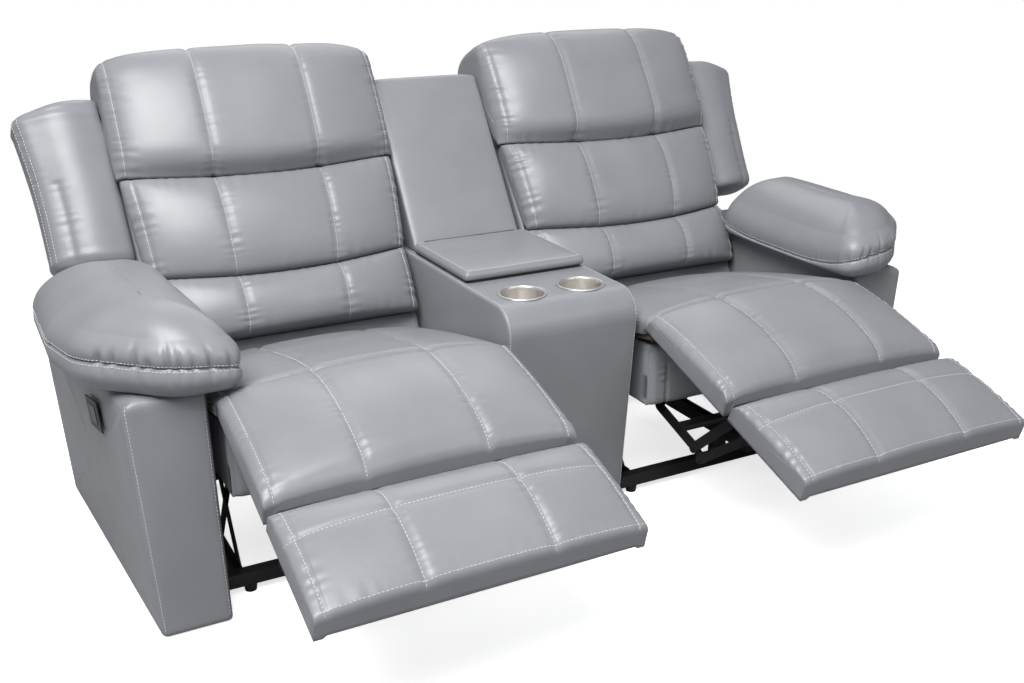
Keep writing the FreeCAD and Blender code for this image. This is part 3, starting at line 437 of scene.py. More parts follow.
# Sewn stitches as short rounded threads along lines of points and normals
def stitches(name, lines, body):
    pitch = thread["pitch"] * mm
    length = thread["length"] * mm
    radius = thread["radius"] * mm
    around = thread["around"]
    verts = []
    faces = []
    for points, normals in lines:
        run = runOf(points)
        for start in np.arange(pitch * 0.3, run[-1] - length, pitch):
            ends = (start, start + length)
            up = readAt(normals, run, ends)
            up /= np.linalg.norm(up, axis=1)[:, None] + 1e-9
            p0, p1 = readAt(points, run, ends) + up * thread["lift"] * mm
            size = np.linalg.norm(p1 - p0)
            if size < 1e-5:
                continue
            wide = np.cross((p1 - p0) / size, up[0])
            wide /= np.linalg.norm(wide) + 1e-9
            base = len(verts)
            for share, swell, sink in threadSections:
                centre = lerp(p0, p1, share) - up[0] * sink * radius
                for turn in arange(0, 2 * math.pi, around):
                    arm = wide * math.cos(turn) + up[0] * math.sin(turn)
                    verts.append(centre + arm * radius * swell)
            loops = base + np.arange(len(threadSections) * around).reshape(-1, around)
            for a, b in zip(loops[:-1], loops[1:]):
                faces += quads(closed(a), closed(b))
            faces.append([int(v) for v in loops[0][::-1]])
            faces.append([int(v) for v in loops[-1]])
    finish(meshObject(name, np.asarray(verts) / mm, faces), body, "thread")


# Materials

# A shader node with its fields set, and each input given a value or joined to another node's output
def node(tree, kind, inputs=None, **fields):
    made = tree.nodes.new("ShaderNode" + kind)
    for field, value in fields.items():
        setattr(made, field, value)
    for key, value in (inputs or {}).items():
        if isinstance(value, bpy.types.NodeSocket):
            tree.links.new(value, made.inputs[key])
        elif value is not None:
            made.inputs[key].default_value = value
    return made


def newMaterial(name):
    material = bpy.data.materials.new(name)
    material.use_nodes = True
    tree = material.node_tree
    tree.nodes.clear()
    return material, tree


# The texture of one kind on object coordinates
def texture(tree, kind, scale, detail=3.0, roughness=0.5, squeeze=(1.0, 1.0, 1.0)):
    coords = node(tree, "TexCoord").outputs["Object"]
    place = node(tree, "Mapping", {"Vector": coords, "Scale": squeeze}).outputs["Vector"]
    made = node(tree, kind, {"Vector": place, "Scale": scale})
    for field, value in (("Detail", detail), ("Roughness", roughness)):
        if field in made.inputs:
            made.inputs[field].default_value = value
    return made


# A value from 0 to 1 mapped to low and high
def ranged(tree, source, low, high):
    return node(tree, "MapRange", {"Value": source, "To Min": low, "To Max": high}).outputs["Result"]


# A mix of two colours by a factor
def mixed(tree, factor, a, b):
    inputs = {"Factor": factor, "A": a + (1.0,), "B": b + (1.0,)}
    return node(tree, "Mix", inputs, data_type="RGBA").outputs["Result"]


def bump(tree, height, strength, distance, previous=None):
    inputs = {"Height": height, "Strength": strength, "Distance": distance, "Normal": previous}
    return node(tree, "Bump", inputs).outputs["Normal"]


leatherLook = {
    "light": (0.258, 0.266, 0.284),
    "dark": (0.214, 0.220, 0.235),
    "roughness": (0.31, 0.42),
    "grain": 520.0,
    "grainDepth": 0.00022,
    "creaseDepth": 0.0010,
}


def leatherMaterial():
    look = leatherLook
    material, tree = newMaterial("leather")
    cloud = texture(tree, "TexNoise", 7.0, 4.0).outputs["Fac"]
    patch = texture(tree, "TexNoise", 23.0, 3.0).outputs["Fac"]
    cells = texture(tree, "TexVoronoi", look["grain"])
    cells.feature = "SMOOTH_F1"
    soft = texture(tree, "TexNoise", 38.0, 6.0, 0.62).outputs["Fac"]
    creased = bump(tree, soft, 0.35, look["creaseDepth"])
    shader = node(tree, "BsdfPrincipled", {
        "Base Color": mixed(tree, ranged(tree, cloud, -0.3, 1.3), look["dark"], look["light"]),
        "Roughness": ranged(tree, patch, *look["roughness"]),
        "Specular IOR Level": 0.5,
        "Sheen Weight": 0.04,
        "Sheen Roughness": 0.6,
        "Normal": bump(tree, cells.outputs["Distance"], 0.35, look["grainDepth"], creased),
    })
    node(tree, "OutputMaterial", {"Surface": shader.outputs["BSDF"]})
    return material


def plainMaterial(name, color, roughness, metallic=0.0, grain=0.0, scale=300.0, squeeze=(1.0, 1.0, 1.0)):
    material, tree = newMaterial(name)
    noise = texture(tree, "TexNoise", scale, 3.0, 0.5, squeeze).outputs["Fac"]
    shader = node(tree, "BsdfPrincipled", {
        "Base Color": color + (1.0,),
        "Metallic": metallic,
        "Roughness": ranged(tree, noise, roughness * 0.8, roughness * 1.2),
        "Normal": bump(tree, noise, 0.3, grain) if grain else None,
    })
    node(tree, "OutputMaterial", {"Surface": shader.outputs["BSDF"]})
    return material


materials = {
    "leather": leatherMaterial(),
    "thread": plainMaterial("thread", (0.62, 0.63, 0.65), 0.6),
    "blackSteel": plainMaterial("blackSteel", (0.012, 0.012, 0.013), 0.34, 0.0, 0.0002, 420.0),
    "blackPlastic": plainMaterial("blackPlastic", (0.014, 0.014, 0.015), 0.42, 0.0, 0.0001, 900.0),
    "buttonPlastic": plainMaterial("buttonPlastic", (0.035, 0.036, 0.04), 0.3, 0.0, 0.0001, 900.0),
    "cupSteel": plainMaterial("cupSteel", (0.88, 0.86, 0.83), 0.34, 1.0, 0.00004, 60.0, (14.0, 14.0, 0.4)),
    "brightSteel": plainMaterial("brightSteel", (0.55, 0.55, 0.56), 0.3, 1.0),
    "wood": plainMaterial("wood", (0.11, 0.08, 0.055), 0.6, 0.0, 0.0004, 30.0, (1.0, 6.0, 6.0)),
}
print("materials made")


def coloured(obj, look):
    obj.data.materials.clear()
    obj.data.materials.append(materials[look])


# Give a piece its look, its body and the nodes that it stands for; with blendTo it gets no body and only its
# transform is baked
def finish(obj, body, look, stands=(), blendTo=None, start=None, end=None):
    if blendTo is None:
        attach(obj, body)
    else:
        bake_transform(obj)
        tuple(start)
        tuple(end)
    if stands:
        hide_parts(*stands)
    coloured(obj, look)


# Seats

seatSpec = {"side": 34.0, "mid": 75.0, "deck": 12.3, "gap": 0.4}


# Where the plane across the leg rest's root meets the seat at a height over its deck
def seatFront(out):
    run = layout["deckFront"][0] - layout["legRoot"][0]
    rise = layout["deckFront"][1] - layout["legRoot"][1]
    c = math.cos(math.radians(layout["deckSlope"]))
    s = math.sin(math.radians(layout["deckSlope"]))
    lean = math.radians(layout["deckSlope"] + layout["legSlope"])
    return -run * c + rise * s - (out + run * s + rise * c) * math.tan(lean)


def seatCushion(name, side, seed):
    length = layout["deckLength"]
    gap = seatSpec["gap"]

    def height(dx, fill, share, along):
        rest = lerp(seatSpec["side"], seatSpec["mid"] + 6.0, fill)
        return rest + 5.0 * fill * np.sin(math.pi * share) - 12.0 * share**2

    spec = {
        "point": seatPoint,
        "start": lambda dx, fill: seatFront(lerp(seatSpec["side"], seatSpec["mid"], fill)) + gap,
        "end": lambda dx, fill: length - 6.0,
        "height": height,
        "base": lambda dx: (seatFront(seatSpec["deck"]) + gap, length - 2.0, seatSpec["deck"]),
        "startEdge": (16.0, 11.0), "endEdge": (60.0, 34.0),
        "channel": 4.5, "channelWidth": 7.0, "pucker": 0.8,
    }
    obj, face, places = crownedPad(name + "SeatCushion", side, seed, spec)
    finish(obj, "base", "leather", [name + "_seat_cushion"])
    stitches(name + "SeatThreads", sewn(obj, face, places, layout["stitch"]), "base")


legSpec = {
    "root": 20.0, "side": 40.0, "mid": 56.0, "crown": 84.0, "pan": 14.3, "gap": 0.4, "bend": 34.0,
    "border": layout["half"] - 17.0,
}


def upperLegHeight(forward, fill):
    span = layout["thigh"] + layout["calf"]
    edge = lerp(lerp(legSpec["root"], legSpec["side"], forward / span), legSpec["mid"], fill)
    bow = 1.0 - ((forward - span / 2) / (span / 2)) ** 2
    return edge + (legSpec["crown"] - legSpec["mid"]) * fill * bow + 5.0 * fill


def upperLegPad(name, side, seed):
    span = layout["thigh"] + layout["calf"]
    gap = legSpec["gap"]
    spec = {
        "rows": 72,
        "start": lambda dx, fill: gap,
        "end": lambda dx, fill: span + 2.0 * gap,
        "height": lambda dx, fill, share, along: upperLegHeight(along, fill),
        "base": lambda dx: (gap, span - 6.0, legSpec["pan"]),
        "startEdge": (15.0, 9.0), "endEdge": (26.0, 13.0), "wrap": 20.0, "lean": -0.35,
        "channel": 5.5, "channelWidth": 6.5, "pucker": 1.2, "edgePucker": 1.6,
    }
    obj, face, places = crownedPad(name + "UpperLegPad", side, seed, spec)
    calf = name + "_calf"
    joint = layout["thigh"]
    start, end = [
        (side * layout["seatX"] * mm, *[c * mm for c in legPoint(joint + shift, 20.0)])
        for shift in (-legSpec["bend"], legSpec["bend"])
    ]
    finish(obj, "base", "leather", [name + "_thigh_pad", name + "_calf_pad"], calf, start, end)
    lines = sewn(obj, face, places, layout["stitch"], legSpec["border"])
    middle = face.shape[1] // 2
    for label, body, part in (("Thigh", "base", slice(middle)), ("Calf", calf, slice(middle, None))):
        halves = [(points[part], normals[part]) for points, normals in lines]
        stitches(name + label + "Threads", halves, body)


footSpec = {"side": 40.0, "mid": 55.0, "crown": 79.0, "seam": 93.0}


def footPad(name, side, seed):
    root = layout["thigh"] + layout["calf"]
    length = layout["foot"]

    def height(dx, fill, share, along):
        edge = lerp(footSpec["side"], footSpec["mid"], fill)
        bow = 4.0 * share * (1.0 - share)
        rise = (footSpec["crown"] - footSpec["mid"] + 4.0) * fill * bow
        return edge + rise - 4.5 * bell(along - root - footSpec["seam"], 7.0) * fill**0.5

    spec = {
        "start": lambda dx, fill: root + 1.6,
        "end": lambda dx, fill: root + length - 3.0,
        "height": height,
        "base": lambda dx: (root + 8.0, root + length, legSpec["pan"]),
        "startEdge": (22.0, 12.0), "endEdge": (12.0, 7.0), "wrap": 18.0, "skirt": 12.0, "lean": 0.35,
        "channel": 5.0, "channelWidth": 6.5, "pucker": 1.1, "edgePucker": 1.6,
    }
    obj, face, places = crownedPad(name + "FootPad", side, seed, spec)
    body = name + "_foot"
    finish(obj, body, "leather", [name + "_foot_pad"])
    lines = sewn(obj, face, places, layout["stitch"], legSpec["border"])
    rows = face.shape[1]
    for row in (int(rows * footSpec["seam"] / length), rows - 3):
        lines.append(threadLine(obj, face[:, row]))
    stitches(name + "FootThreads", lines, body)


bolsterSpec = {
    "face": -312.0, "inside": -303.4, "low": 257.0, "high": 403.0, "halfLow": 276.8, "halfHigh": 279.0,
    "corner": 20.0, "rear": -130.0, "skin": 6.2, "seam": 232.0, "bed": 3.5,
}


# The seat box's cover: round the front and back along both sides, in one piece
def bolster(name, side, seed):
    spec = bolsterSpec
    inside = spec["inside"]
    face = spec["face"]
    tall = spec["high"] - spec["low"]
    count = 260
    rows = 40
    y0, z0 = layout["deckFront"]
    slope = math.tan(math.radians(layout["deckSlope"]))

    # A line from one rear end round the front to the other, half wide and with its face at front
    def around(half, front, rear, corner):
        corners = [(-half, rear), (-half, front), (half, front), (half, rear)]
        return openPath(corners, [0.0, corner, corner, 0.0], count)

    outer = []
    inner = []
    for share in np.linspace(0.0, 1.0, rows):
        z = spec["low"] + tall * share
        half = lerp(spec["halfLow"], spec["halfHigh"], share)
        rear = min(spec["rear"], y0 + (z0 - 1.0 - z) / slope)
        path = around(half, face, rear, spec["corner"])
        drop = float(roundOver(share * tall, 20.0, 8.0) + roundOver((1 - share) * tall, 20.0, 8.0))
        front = unit((face + 26.0 - path[:, 1]) / 20.0)
        fill = (1.0 - unit(np.abs(path[:, 0]) / half) ** 4) ** 0.25
        fromSeam = np.abs(path[:, 0]) - spec["seam"]
        pucker = 1.5 * bell(fromSeam, 20.0) * front * float(ripple(z, seed, 21.0))
        soft = sway(path[:, 0], np.full(count, z), seed + 2, 90.0) * front
        y = path[:, 1] + (drop - 8.0 * fill + pucker + soft) * front
        y = y + 4.0 * bell(fromSeam, 4.5) * front
        y = np.where(front > 0.0, np.minimum(y, inside - 1.5), y)
        x = path[:, 0] + 0.5 * ripple(path[:, 1] + 0.4 * z, seed + 3, 60.0) * (1.0 - front)
        lining = around(half - spec["skin"], inside, rear, 2.0)
        for sheet, wide, deep in ((outer, x, y), (inner, lining[:, 0], lining[:, 1])):
            sheet.append(np.stack([side * (layout["seatX"] + wide), deep, np.full(count, z)], 1))
    verts = np.concatenate([np.asarray(outer).reshape(-1, 3), np.asarray(inner).reshape(-1, 3)])
    outside = np.arange(rows * count).reshape(rows, count)
    within = outside + rows * count
    faces = []
    for i in range(rows - 1):
        faces += quads(outside[i], outside[i + 1]) + quads(within[i], within[i + 1])
    for end in (0, -1):
        faces += quads(outside[:, end], within[:, end]) + quads(outside[end], within[end])
    obj = meshObject(name + "Bolster", verts, faces)
    finish(obj, "base", "leather", [name + "_seat_bolster"])
    middle = outer[rows // 2]
    lines = []
    for sign in (-1, 1):
        goal = side * layout["seatX"] + sign * spec["seam"]
        behind = middle[:, 1] >= face + 6.0
        j = int(np.argmin(np.abs(middle[:, 0] - goal) + 1000.0 * behind))
        lines += [threadLine(obj, outside[:, j], shift) for shift in (spec["bed"], -spec["bed"])]
    stitches(name + "BolsterThreads", lines, "base")


# Backs

backSpec = {
    "half": 299.0, "headHalf": 323.0, "stitch": 116.0, "headStitch": 122.0,
    "creaseLow": (221.0, 192.0), "creaseHigh": (453.0, 425.0),
    "face": 38.3, "seam": 60.0, "crease": 97.0, "crown": 141.0, "headCrown": 148.0,
    "lumbarStart": 62.0, "headCrest": 752.0,
    "coverLow": -45.0, "coverTop": 655.0, "coverRear": -90.0, "coverHalf": (298.0, 318.0),
}


def creaseAt(pair, dx, half):
    low, mid = pair
    return low + (mid - low) * (1.0 - (dx / half) ** 2)


def coverHalf(up):
    spec = backSpec
    low, high = spec["coverHalf"]
    return lerp(low, high, (up - spec["coverLow"]) / (spec["coverTop"] - spec["coverLow"]))


def tierSpec(start, end, startEdge, startCrease):
    seam = backSpec["seam"]

    def height(dx, fill, share, along):
        low = lerp(seam - 6.0, startCrease, fill)
        high = lerp(seam - 6.0, backSpec["crease"], fill)
        line = lerp(low, high, share)
        bow = np.sqrt(np.maximum(0.0, 1.0 - (2.0 * share - 1.0) ** 2))
        return line + (lerp(seam, backSpec["crown"], fill) - line) * bow**0.9

    return {
        "half": backSpec["half"], "stitch": backSpec["stitch"], "point": backPoint,
        "start": start, "end": end, "height": height,
        "base": lambda dx: (start(dx, 0) + 3.0, end(dx, 0) - 3.0, backSpec["face"]),
        "startEdge": startEdge, "endEdge": (12.0, 6.0),
        "channel": 5.0, "channelWidth": 6.5, "pucker": 1.0, "endPucker": 2.2, "edgePucker": 3.0,
    }


def backTiers(name, side, seed):
    body = name + "_back"
    half = backSpec["half"]
    low = backSpec["creaseLow"]
    high = backSpec["creaseHigh"]
    crease = backSpec["crease"]
    lumbar = tierSpec(
        lambda dx, fill: backSpec["lumbarStart"], lambda dx, fill: creaseAt(low, dx, half) - 1.0,
        (10.0, 6.0), crease - 4.0,
    )
    middle = tierSpec(
        lambda dx, fill: creaseAt(low, dx, half) + 1.0, lambda dx, fill: creaseAt(high, dx, half) - 1.0,
        (12.0, 6.0), crease,
    )
    middle["spread"] = (0.058, backPoint(200, 60)[1], backPoint(440, 60)[1])
    for count, (label, node, spec) in enumerate(
        (("Lumbar", "_lumbar_pad", lumbar), ("Middle", "_middle_pad", middle))
    ):
        obj, face, places = crownedPad(name + label, side, seed + 20 * count, spec)
        finish(obj, body, "leather", [name + node])
        lines = sewn(obj, face, places, backSpec["stitch"], half - 17.0)
        stitches(name + label + "Threads", lines, body)
    headTier(name, side, seed + 60)


# The top tier: up its front, over the top and down to the cover behind
def headTier(name, side, seed):
    spec = backSpec
    half = spec["headHalf"]
    stitch = spec["headStitch"]
    rows = 104
    places = across(half, stitch, 104)
    base = spec["face"]
    under = spec["coverTop"] + 0.4
    rear = spec["coverRear"] + 1.0
    rings = []
    for dx in places:
        fill = full(dx, half, 2.4)
        start = creaseAt(spec["creaseHigh"], dx, half) + 1.0
        crest = spec["headCrest"] + 3.0 - 44.0 * (1.0 - full(dx, half, 3.4))
        front = lerp(spec["seam"] - 2.0, spec["headCrown"], fill)
        foot = lerp(spec["seam"] - 8.0, spec["crease"], fill)
        knots = [
            (start, foot),
            (start + 34.0, lerp(foot, front, 0.80)),
            (start + 95.0, front - 1.0),
            (lerp(start, crest, 0.66), front - 6.0),
            (crest - 46.0, lerp(front, base, 0.22)),
            (crest - 13.0, lerp(front, base, 0.56)),
            (crest, lerp(front, rear, 0.58)),
            (crest - 8.0, lerp(front, rear, 0.84)),
            (crest - 36.0, rear + 1.0),
        ]
        line = spline(knots, np.linspace(0.0, 1.0, rows))
        length = runOf(line)
        normal = np.stack([np.gradient(line[:, 1]), -np.gradient(line[:, 0])], 1)
        normal /= np.linalg.norm(normal, axis=1)[:, None] + 1e-9
        push = channelFolds(dx, stitch, length, seed, 19.0) - channel(dx, stitch, 5.0, 7.0)
        push = push + 1.8 * bell(length, 30.0) * ripple(dx, seed + 3, 27.0) * fill
        edge = max(0.0, 1.0 - (half - abs(dx)) / 60.0)
        push = push + 2.0 * edge * ripple(length, seed + 4, 30.0)
        push = push + 1.6 * sway(dx, length, seed + 5) * fill
        border = abs(dx) - half + 20.0
        push = push - 2.6 * bell(border, 3.5)
        push = push + 2.2 * bell(border - 4.0, 15.0) * ripple(length, seed + 8, 15.0)
        line = line - normal * push[:, None]
        stops = [line[-1], (under, rear + 4.0), (under, base), (start + 3.0, base), line[0]]
        starts = [(line[-1][0], rear)] + stops[1:-1]
        floor = []
        for (a0, o0), (a1, o1), count in zip(starts, stops[1:], (5, 6, 6, 4)):
            floor += [(lerp(a0, a1, share), lerp(o0, o1, share)) for share in arange(0, 1, count)]
        ring = floor + [tuple(p) for p in line]
        rings.append([(side * (layout["seatX"] + dx),) + backPoint(a, o) for a, o in ring])
    obj, index = bodied(name + "Head", rings, bulge=5.0)
    body = name + "_back"
    finish(obj, body, "leather", [name + "_head_pad"])
    lines = sewn(obj, index[:, -rows:], places, stitch, half - 17.0)
    stitches(name + "HeadThreads", lines, body)


wingSpec = {
    "low": 279.0, "high": 664.0, "outer": 953.0, "flare": 35.0, "power": 2.2, "front": 37.0, "rear": -86.0,
    "dome": 26.0,
}


# The padded wing: rings up the back, round at the front and drawn in at top and bottom
def wing(name, side, seed):
    spec = wingSpec
    low = spec["low"]
    high = spec["high"]
    rows = 76
    around = 110
    rings = []
    # The seam's place round the first rings, found again on the middle one
    seam = 62
    for k in range(rows):
        share = k / (rows - 1)
        up = lerp(low, high, share)
        draw = float(roundOver(up - low, 26.0, 16.0) + roundOver(high - up, 46.0, 34.0))
        beside = unit((up - 560.0) / 70.0)
        inner = layout["seatX"] + lerp(coverHalf(up), backSpec["headHalf"] + 0.6, beside) + 0.5
        outer = spec["outer"] + spec["flare"] * share ** spec["power"] - draw
        front = spec["front"] - draw * 0.7
        rear = spec["rear"] + draw * 0.7
        crest = lerp(inner, outer, 0.45)
        corners = [(inner, rear), (outer, rear), (outer, front - 24.0)]
        corners += [(crest, front + 14.0), (inner, front - 12.0)]
        loop = evenly(rounded(corners, [2.0, 26.0, 40.0, 130.0, 26.0]), around)
        if k == rows // 2:
            seam = int(np.argmax(loop[:, 0] * 0.9 + loop[:, 1] * 0.5))
        away = loop - loop.mean(0)
        away /= np.linalg.norm(away, axis=1)[:, None]
        fromSeam = np.arange(around) - seam
        near = bell(high - up, 60.0) + bell(up - low, 40.0)
        wave = 1.2 * near * float(ripple(up, seed, 34.0))
        wave = wave + sway(loop[:, 0] * 2, np.full(around, up), seed + 1)
        gather = bell(fromSeam, 5.0) * float(ripple(up, seed + 2, 19.0))
        free = unit((loop[:, 0] - inner) / 20.0)
        loop = loop + away * ((wave + gather) * free - 2.2 * bell(fromSeam, 1.6))[:, None]
        crown = unit((up - high + 90.0) / 90.0) ** 2
        lower = spec["dome"] * crown * unit((loop[:, 0] - inner) / (outer - inner)) ** 2
        rings.append([(side * p[0],) + backPoint(up - d, p[1]) for p, d in zip(loop, lower)])
    obj, index = bodied(name + "Wing", rings, capSteps=8, bulge=9.0)
    body = name + "_back"
    finish(obj, body, "leather", [name + "_wing"])
    lines = [threadLine(obj, index[3:-3, seam + shift]) for shift in (-2, 2)]
    stitches(name + "WingThreads", lines, body)


# The skin over the back's rear and sides
def backCover(name, side):
    spec = backSpec
    front = 38.0
    rings = []
    for up in np.linspace(spec["coverLow"], spec["coverTop"], 30):
        half = coverHalf(up)
        rear = spec["coverRear"] + float(roundOver(spec["coverTop"] - up, 16.0, 12.0))
        corners = [(-half, front), (-half, rear), (half, rear), (half, front)]
        loop = evenly(rounded(corners, [1.0, 14.0, 14.0, 1.0]), 120)
        rings.append([(side * (layout["seatX"] + p[0]),) + backPoint(up, p[1]) for p in loop])
    obj, index = bodied(name + "BackCover", rings)
    finish(obj, name + "_back", "leather", [name + "_back_cover"])


# Arms

armSpec = {
    "inner": 781.0, "draft": 11.0, "front": -321.0, "rear": 413.0, "height": 490.0,
    "lowWidth": 136.0, "highWidth": 152.0, "flare": 55.0, "edge": 13.0, "round": 36.0, "span": 150.0,
}


# Where a point across an arm and on its outline stands, with the outer top edge rounded
def armPlace(side):
    spec = armSpec

    def place(share, p):
        y, z = p
        rise = z / spec["height"]
        inner = spec["inner"] - spec["draft"] * (1 - rise)
        low = spec["inner"] - spec["draft"] + spec["lowWidth"]
        high = spec["inner"] + spec["highWidth"]
        flare = spec["flare"] * (y - spec["front"]) / (spec["rear"] - spec["front"])
        outer = lerp(low, high, rise) + flare
        over = share - spec["span"] + spec["round"]
        above = z - spec["height"] + spec["round"]
        far = math.hypot(over, above)
        if over > 0 and above > 0 and far > spec["round"]:
            share += over * (spec["round"] / far - 1.0)
            z += above * (spec["round"] / far - 1.0)
        return (side * lerp(inner, outer, share / spec["span"]), y, z)

    return place


def arm(name, side):
    spec = armSpec
    py, pz = layout["backPivot"]
    radius = spec["rear"] - py
    rise = spec["height"] - pz
    turns = np.linspace(math.atan2(rise, math.sqrt(radius**2 - rise**2)), 0.0, 14)
    arc = [(py + radius * math.cos(t), pz + radius * math.sin(t)) for t in turns]
    corners = [(spec["front"], 0.0), (spec["front"], spec["height"])] + arc + [(spec["rear"], 0.0)]
    outline = rounded(corners, [9.0, 16.0] + [0.0] * len(arc) + [9.0])
    obj, index = wrapped(name + "Arm", outline, 0.0, spec["span"], spec["edge"], armPlace(side), 260, 24)
    finish(obj, "base", "leather", [name + "_arm"])
    lines = []
    for ring in (index[5], index[-6]):
        points = threadLine(obj, ring)[0]
        keep = np.where((points[:, 1] < (spec["front"] + 14.0) * mm) & (points[:, 2] > 0.012))[0]
        lines.append(threadLine(obj, ring[keep[np.argsort(points[keep, 2])]]))
    stitches(name + "ArmThreads", lines, "base")


pillowSpec = {
    "corners": [
        (716.0, -362.0), (842.0, -366.0), (984.0, -232.0), (1016.0, -90.0), (1014.0, 210.0), (738.0, 146.0),
    ],
    "radii": [38.0, 130.0, 110.0, 60.0, 70.0, 46.0],
    "spine": ((842.0, -225.0), (872.0, 55.0)),
    "base": 490.5, "seam": 545.0, "crown": 645.0, "rise": 7.0, "tuck": 42.0,
    "pleats": 10, "pleatEnds": (724.0, 952.0),
}
# The band under the seam: shares of the way down and how far out each one stands
pillowBand = (
    (0.0, -3.4), (0.04, -0.8), (0.10, 0.4), (0.20, 1.2), (0.32, 1.6), (0.46, 0.8), (0.60, -1.2),
    (0.73, -4.4), (0.84, -8.4), (0.93, -13.6), (0.985, -20.0), (1.0, -28.0),
)


# Valleys of a gathered seam at uneven places: their depth across, and how far each one runs up
def gathers(x, seed, reach, low, high):
    spec = pillowSpec
    draw = np.random.default_rng(seed)
    places = np.linspace(*spec["pleatEnds"], spec["pleats"]) + draw.uniform(-7.0, 7.0, spec["pleats"])
    total = np.zeros(len(x))
    for place in places:
        long = draw.uniform(low, high)
        width = draw.uniform(4.0, 6.0)
        depth = draw.uniform(3.5, 6.5)
        valley = bell(x - place, width) - 0.34 * bell(x - place, width * 2.4)
        total += depth * valley * math.exp(-((reach / long) ** 3))
    return total


# Values round a closed loop, averaged with their neighbours three times
def eased(values, reach):
    for turn in range(3):
        values = sum(np.roll(values, k, 0) for k in range(-reach, reach + 1)) / (2 * reach + 1)
    return values


# The big pad on the arm: a crowned top gathered into a seam, over a boxed band
def armPillow(name, side, seed):
    spec = pillowSpec
    around = 560
    rows = 64
    plan = evenly(rounded(spec["corners"], spec["radii"]), around)
    a, b = np.asarray(spec["spine"], float)
    along = unit(((plan - a) @ (b - a)) / ((b - a) @ (b - a)))
    target = eased(a + along[:, None] * (b - a), 24)
    reach = np.linalg.norm(plan - target, axis=1)
    outward = plan - inset(plan, 1.0)
    run = np.arange(around) * np.linalg.norm(plan[1] - plan[0])
    front = eased(unit((-outward[:, 1] - 0.10) / 0.35), 9)
    within = eased(unit((-outward[:, 0] - 0.25) / 0.5) * (1.0 - front), 26)
    steep = unit(front + within)
    seamAt = spec["seam"] + spec["rise"] * front - spec["tuck"] * within
    height = spec["crown"] - seamAt
    rings = []

    def addRing(flat, z):
        rings.append(np.stack([side * flat[:, 0], flat[:, 1], z], 1))

    for k in range(rows, 0, -1):
        turn = k / rows * 0.97 * math.pi / 2
        scale = math.cos(turn) ** lerp(1.22, 0.82, steep)
        up = height * math.sin(turn)
        low = float(up.max())
        swell = 7.0 * steep * math.sin(math.pi * min(1.0, low / 78.0))
        pleats = gathers(plan[:, 0], seed, low, 26.0, 60.0) * front * min(1.0, low / 5.0 + 0.3) * 1.7
        small = ripple(run, seed + 2, 24.0) * (1.0 - front) * bell(low, 20.0)
        flat = target + (plan - target) * scale[:, None] + outward * (swell - pleats + small)[:, None]
        fall = 1.0 - 0.10 * unit((-190.0 - flat[:, 1]) / 200.0) ** 1.5
        deep = unit((1.0 - scale) * reach / 50.0)
        soft = 2.0 * sway(flat[:, 0], flat[:, 1], seed + 4, 190.0) * deep
        addRing(flat, seamAt + up * fall + soft - pleats * 0.35)
    for down, out in pillowBand:
        pleats = gathers(plan[:, 0], seed, 55.0 * down, 14.0, 30.0) * front * 0.6
        more = 4.0 * front * math.sin(math.pi * min(1.0, down * 1.3))
        flat = plan + outward * (out + more - pleats)[:, None]
        addRing(flat, seamAt - (seamAt - spec["base"]) * down)
    for scale in (0.6, 0.3):
        addRing(target + (plan - target) * scale, np.full(around, spec["base"]))
    obj, index = bodied(name + "ArmPillow", rings, capSteps=2, bulge=0.5)
    finish(obj, "base", "leather", [name + "_arm_pillow"])
    lines = [threadLine(obj, closed(index[row])) for row in (rows - 2, rows + 2)]
    stitches(name + "PillowThreads", lines, "base")


# Console

consoleSpec = {
    "half": 158.0, "rear": 320.0, "frontTop": -315.0, "frontLow": -265.0, "height": 534.0,
    "nose": 60.0, "edge": 7.0, "flange": 8.0,
}


# Cut solids out of a piece
def cutOut(obj, tools):
    for tool in tools:
        cut = obj.modifiers.new("cut", "BOOLEAN")
        cut.operation = "DIFFERENCE"
        cut.solver = "EXACT"
        cut.object = tool
    graph = bpy.context.evaluated_depsgraph_get()
    made = bpy.data.meshes.new_from_object(obj.evaluated_get(graph))
    obj.modifiers.clear()
    old = obj.data
    obj.data = made
    bpy.data.meshes.remove(old)
    for tool in tools:
        bpy.data.objects.remove(tool)


# An upright solid on an outline, to cut with
def upright(outline, z0, z1):
    count = len(outline)
    verts = [(p[0], p[1], z) for z in (z0, z1) for p in outline]
    low = np.arange(count)
    faces = [tuple(range(count))[::-1], tuple(range(count, 2 * count))]
    return meshObject("tool", verts, faces + quads(closed(low), closed(low + count)), False)


def boxTool(x0, x1, y0, y1, z0, z1):
    return upright([(x0, y0), (x1, y0), (x1, y1), (x0, y1)], z0, z1)


def roundTool(x, y, radius, z0, z1):
    turns = arange(0, 2 * math.pi, 64)
    return upright([(x + radius * math.cos(t), y + radius * math.sin(t)) for t in turns], z0, z1)


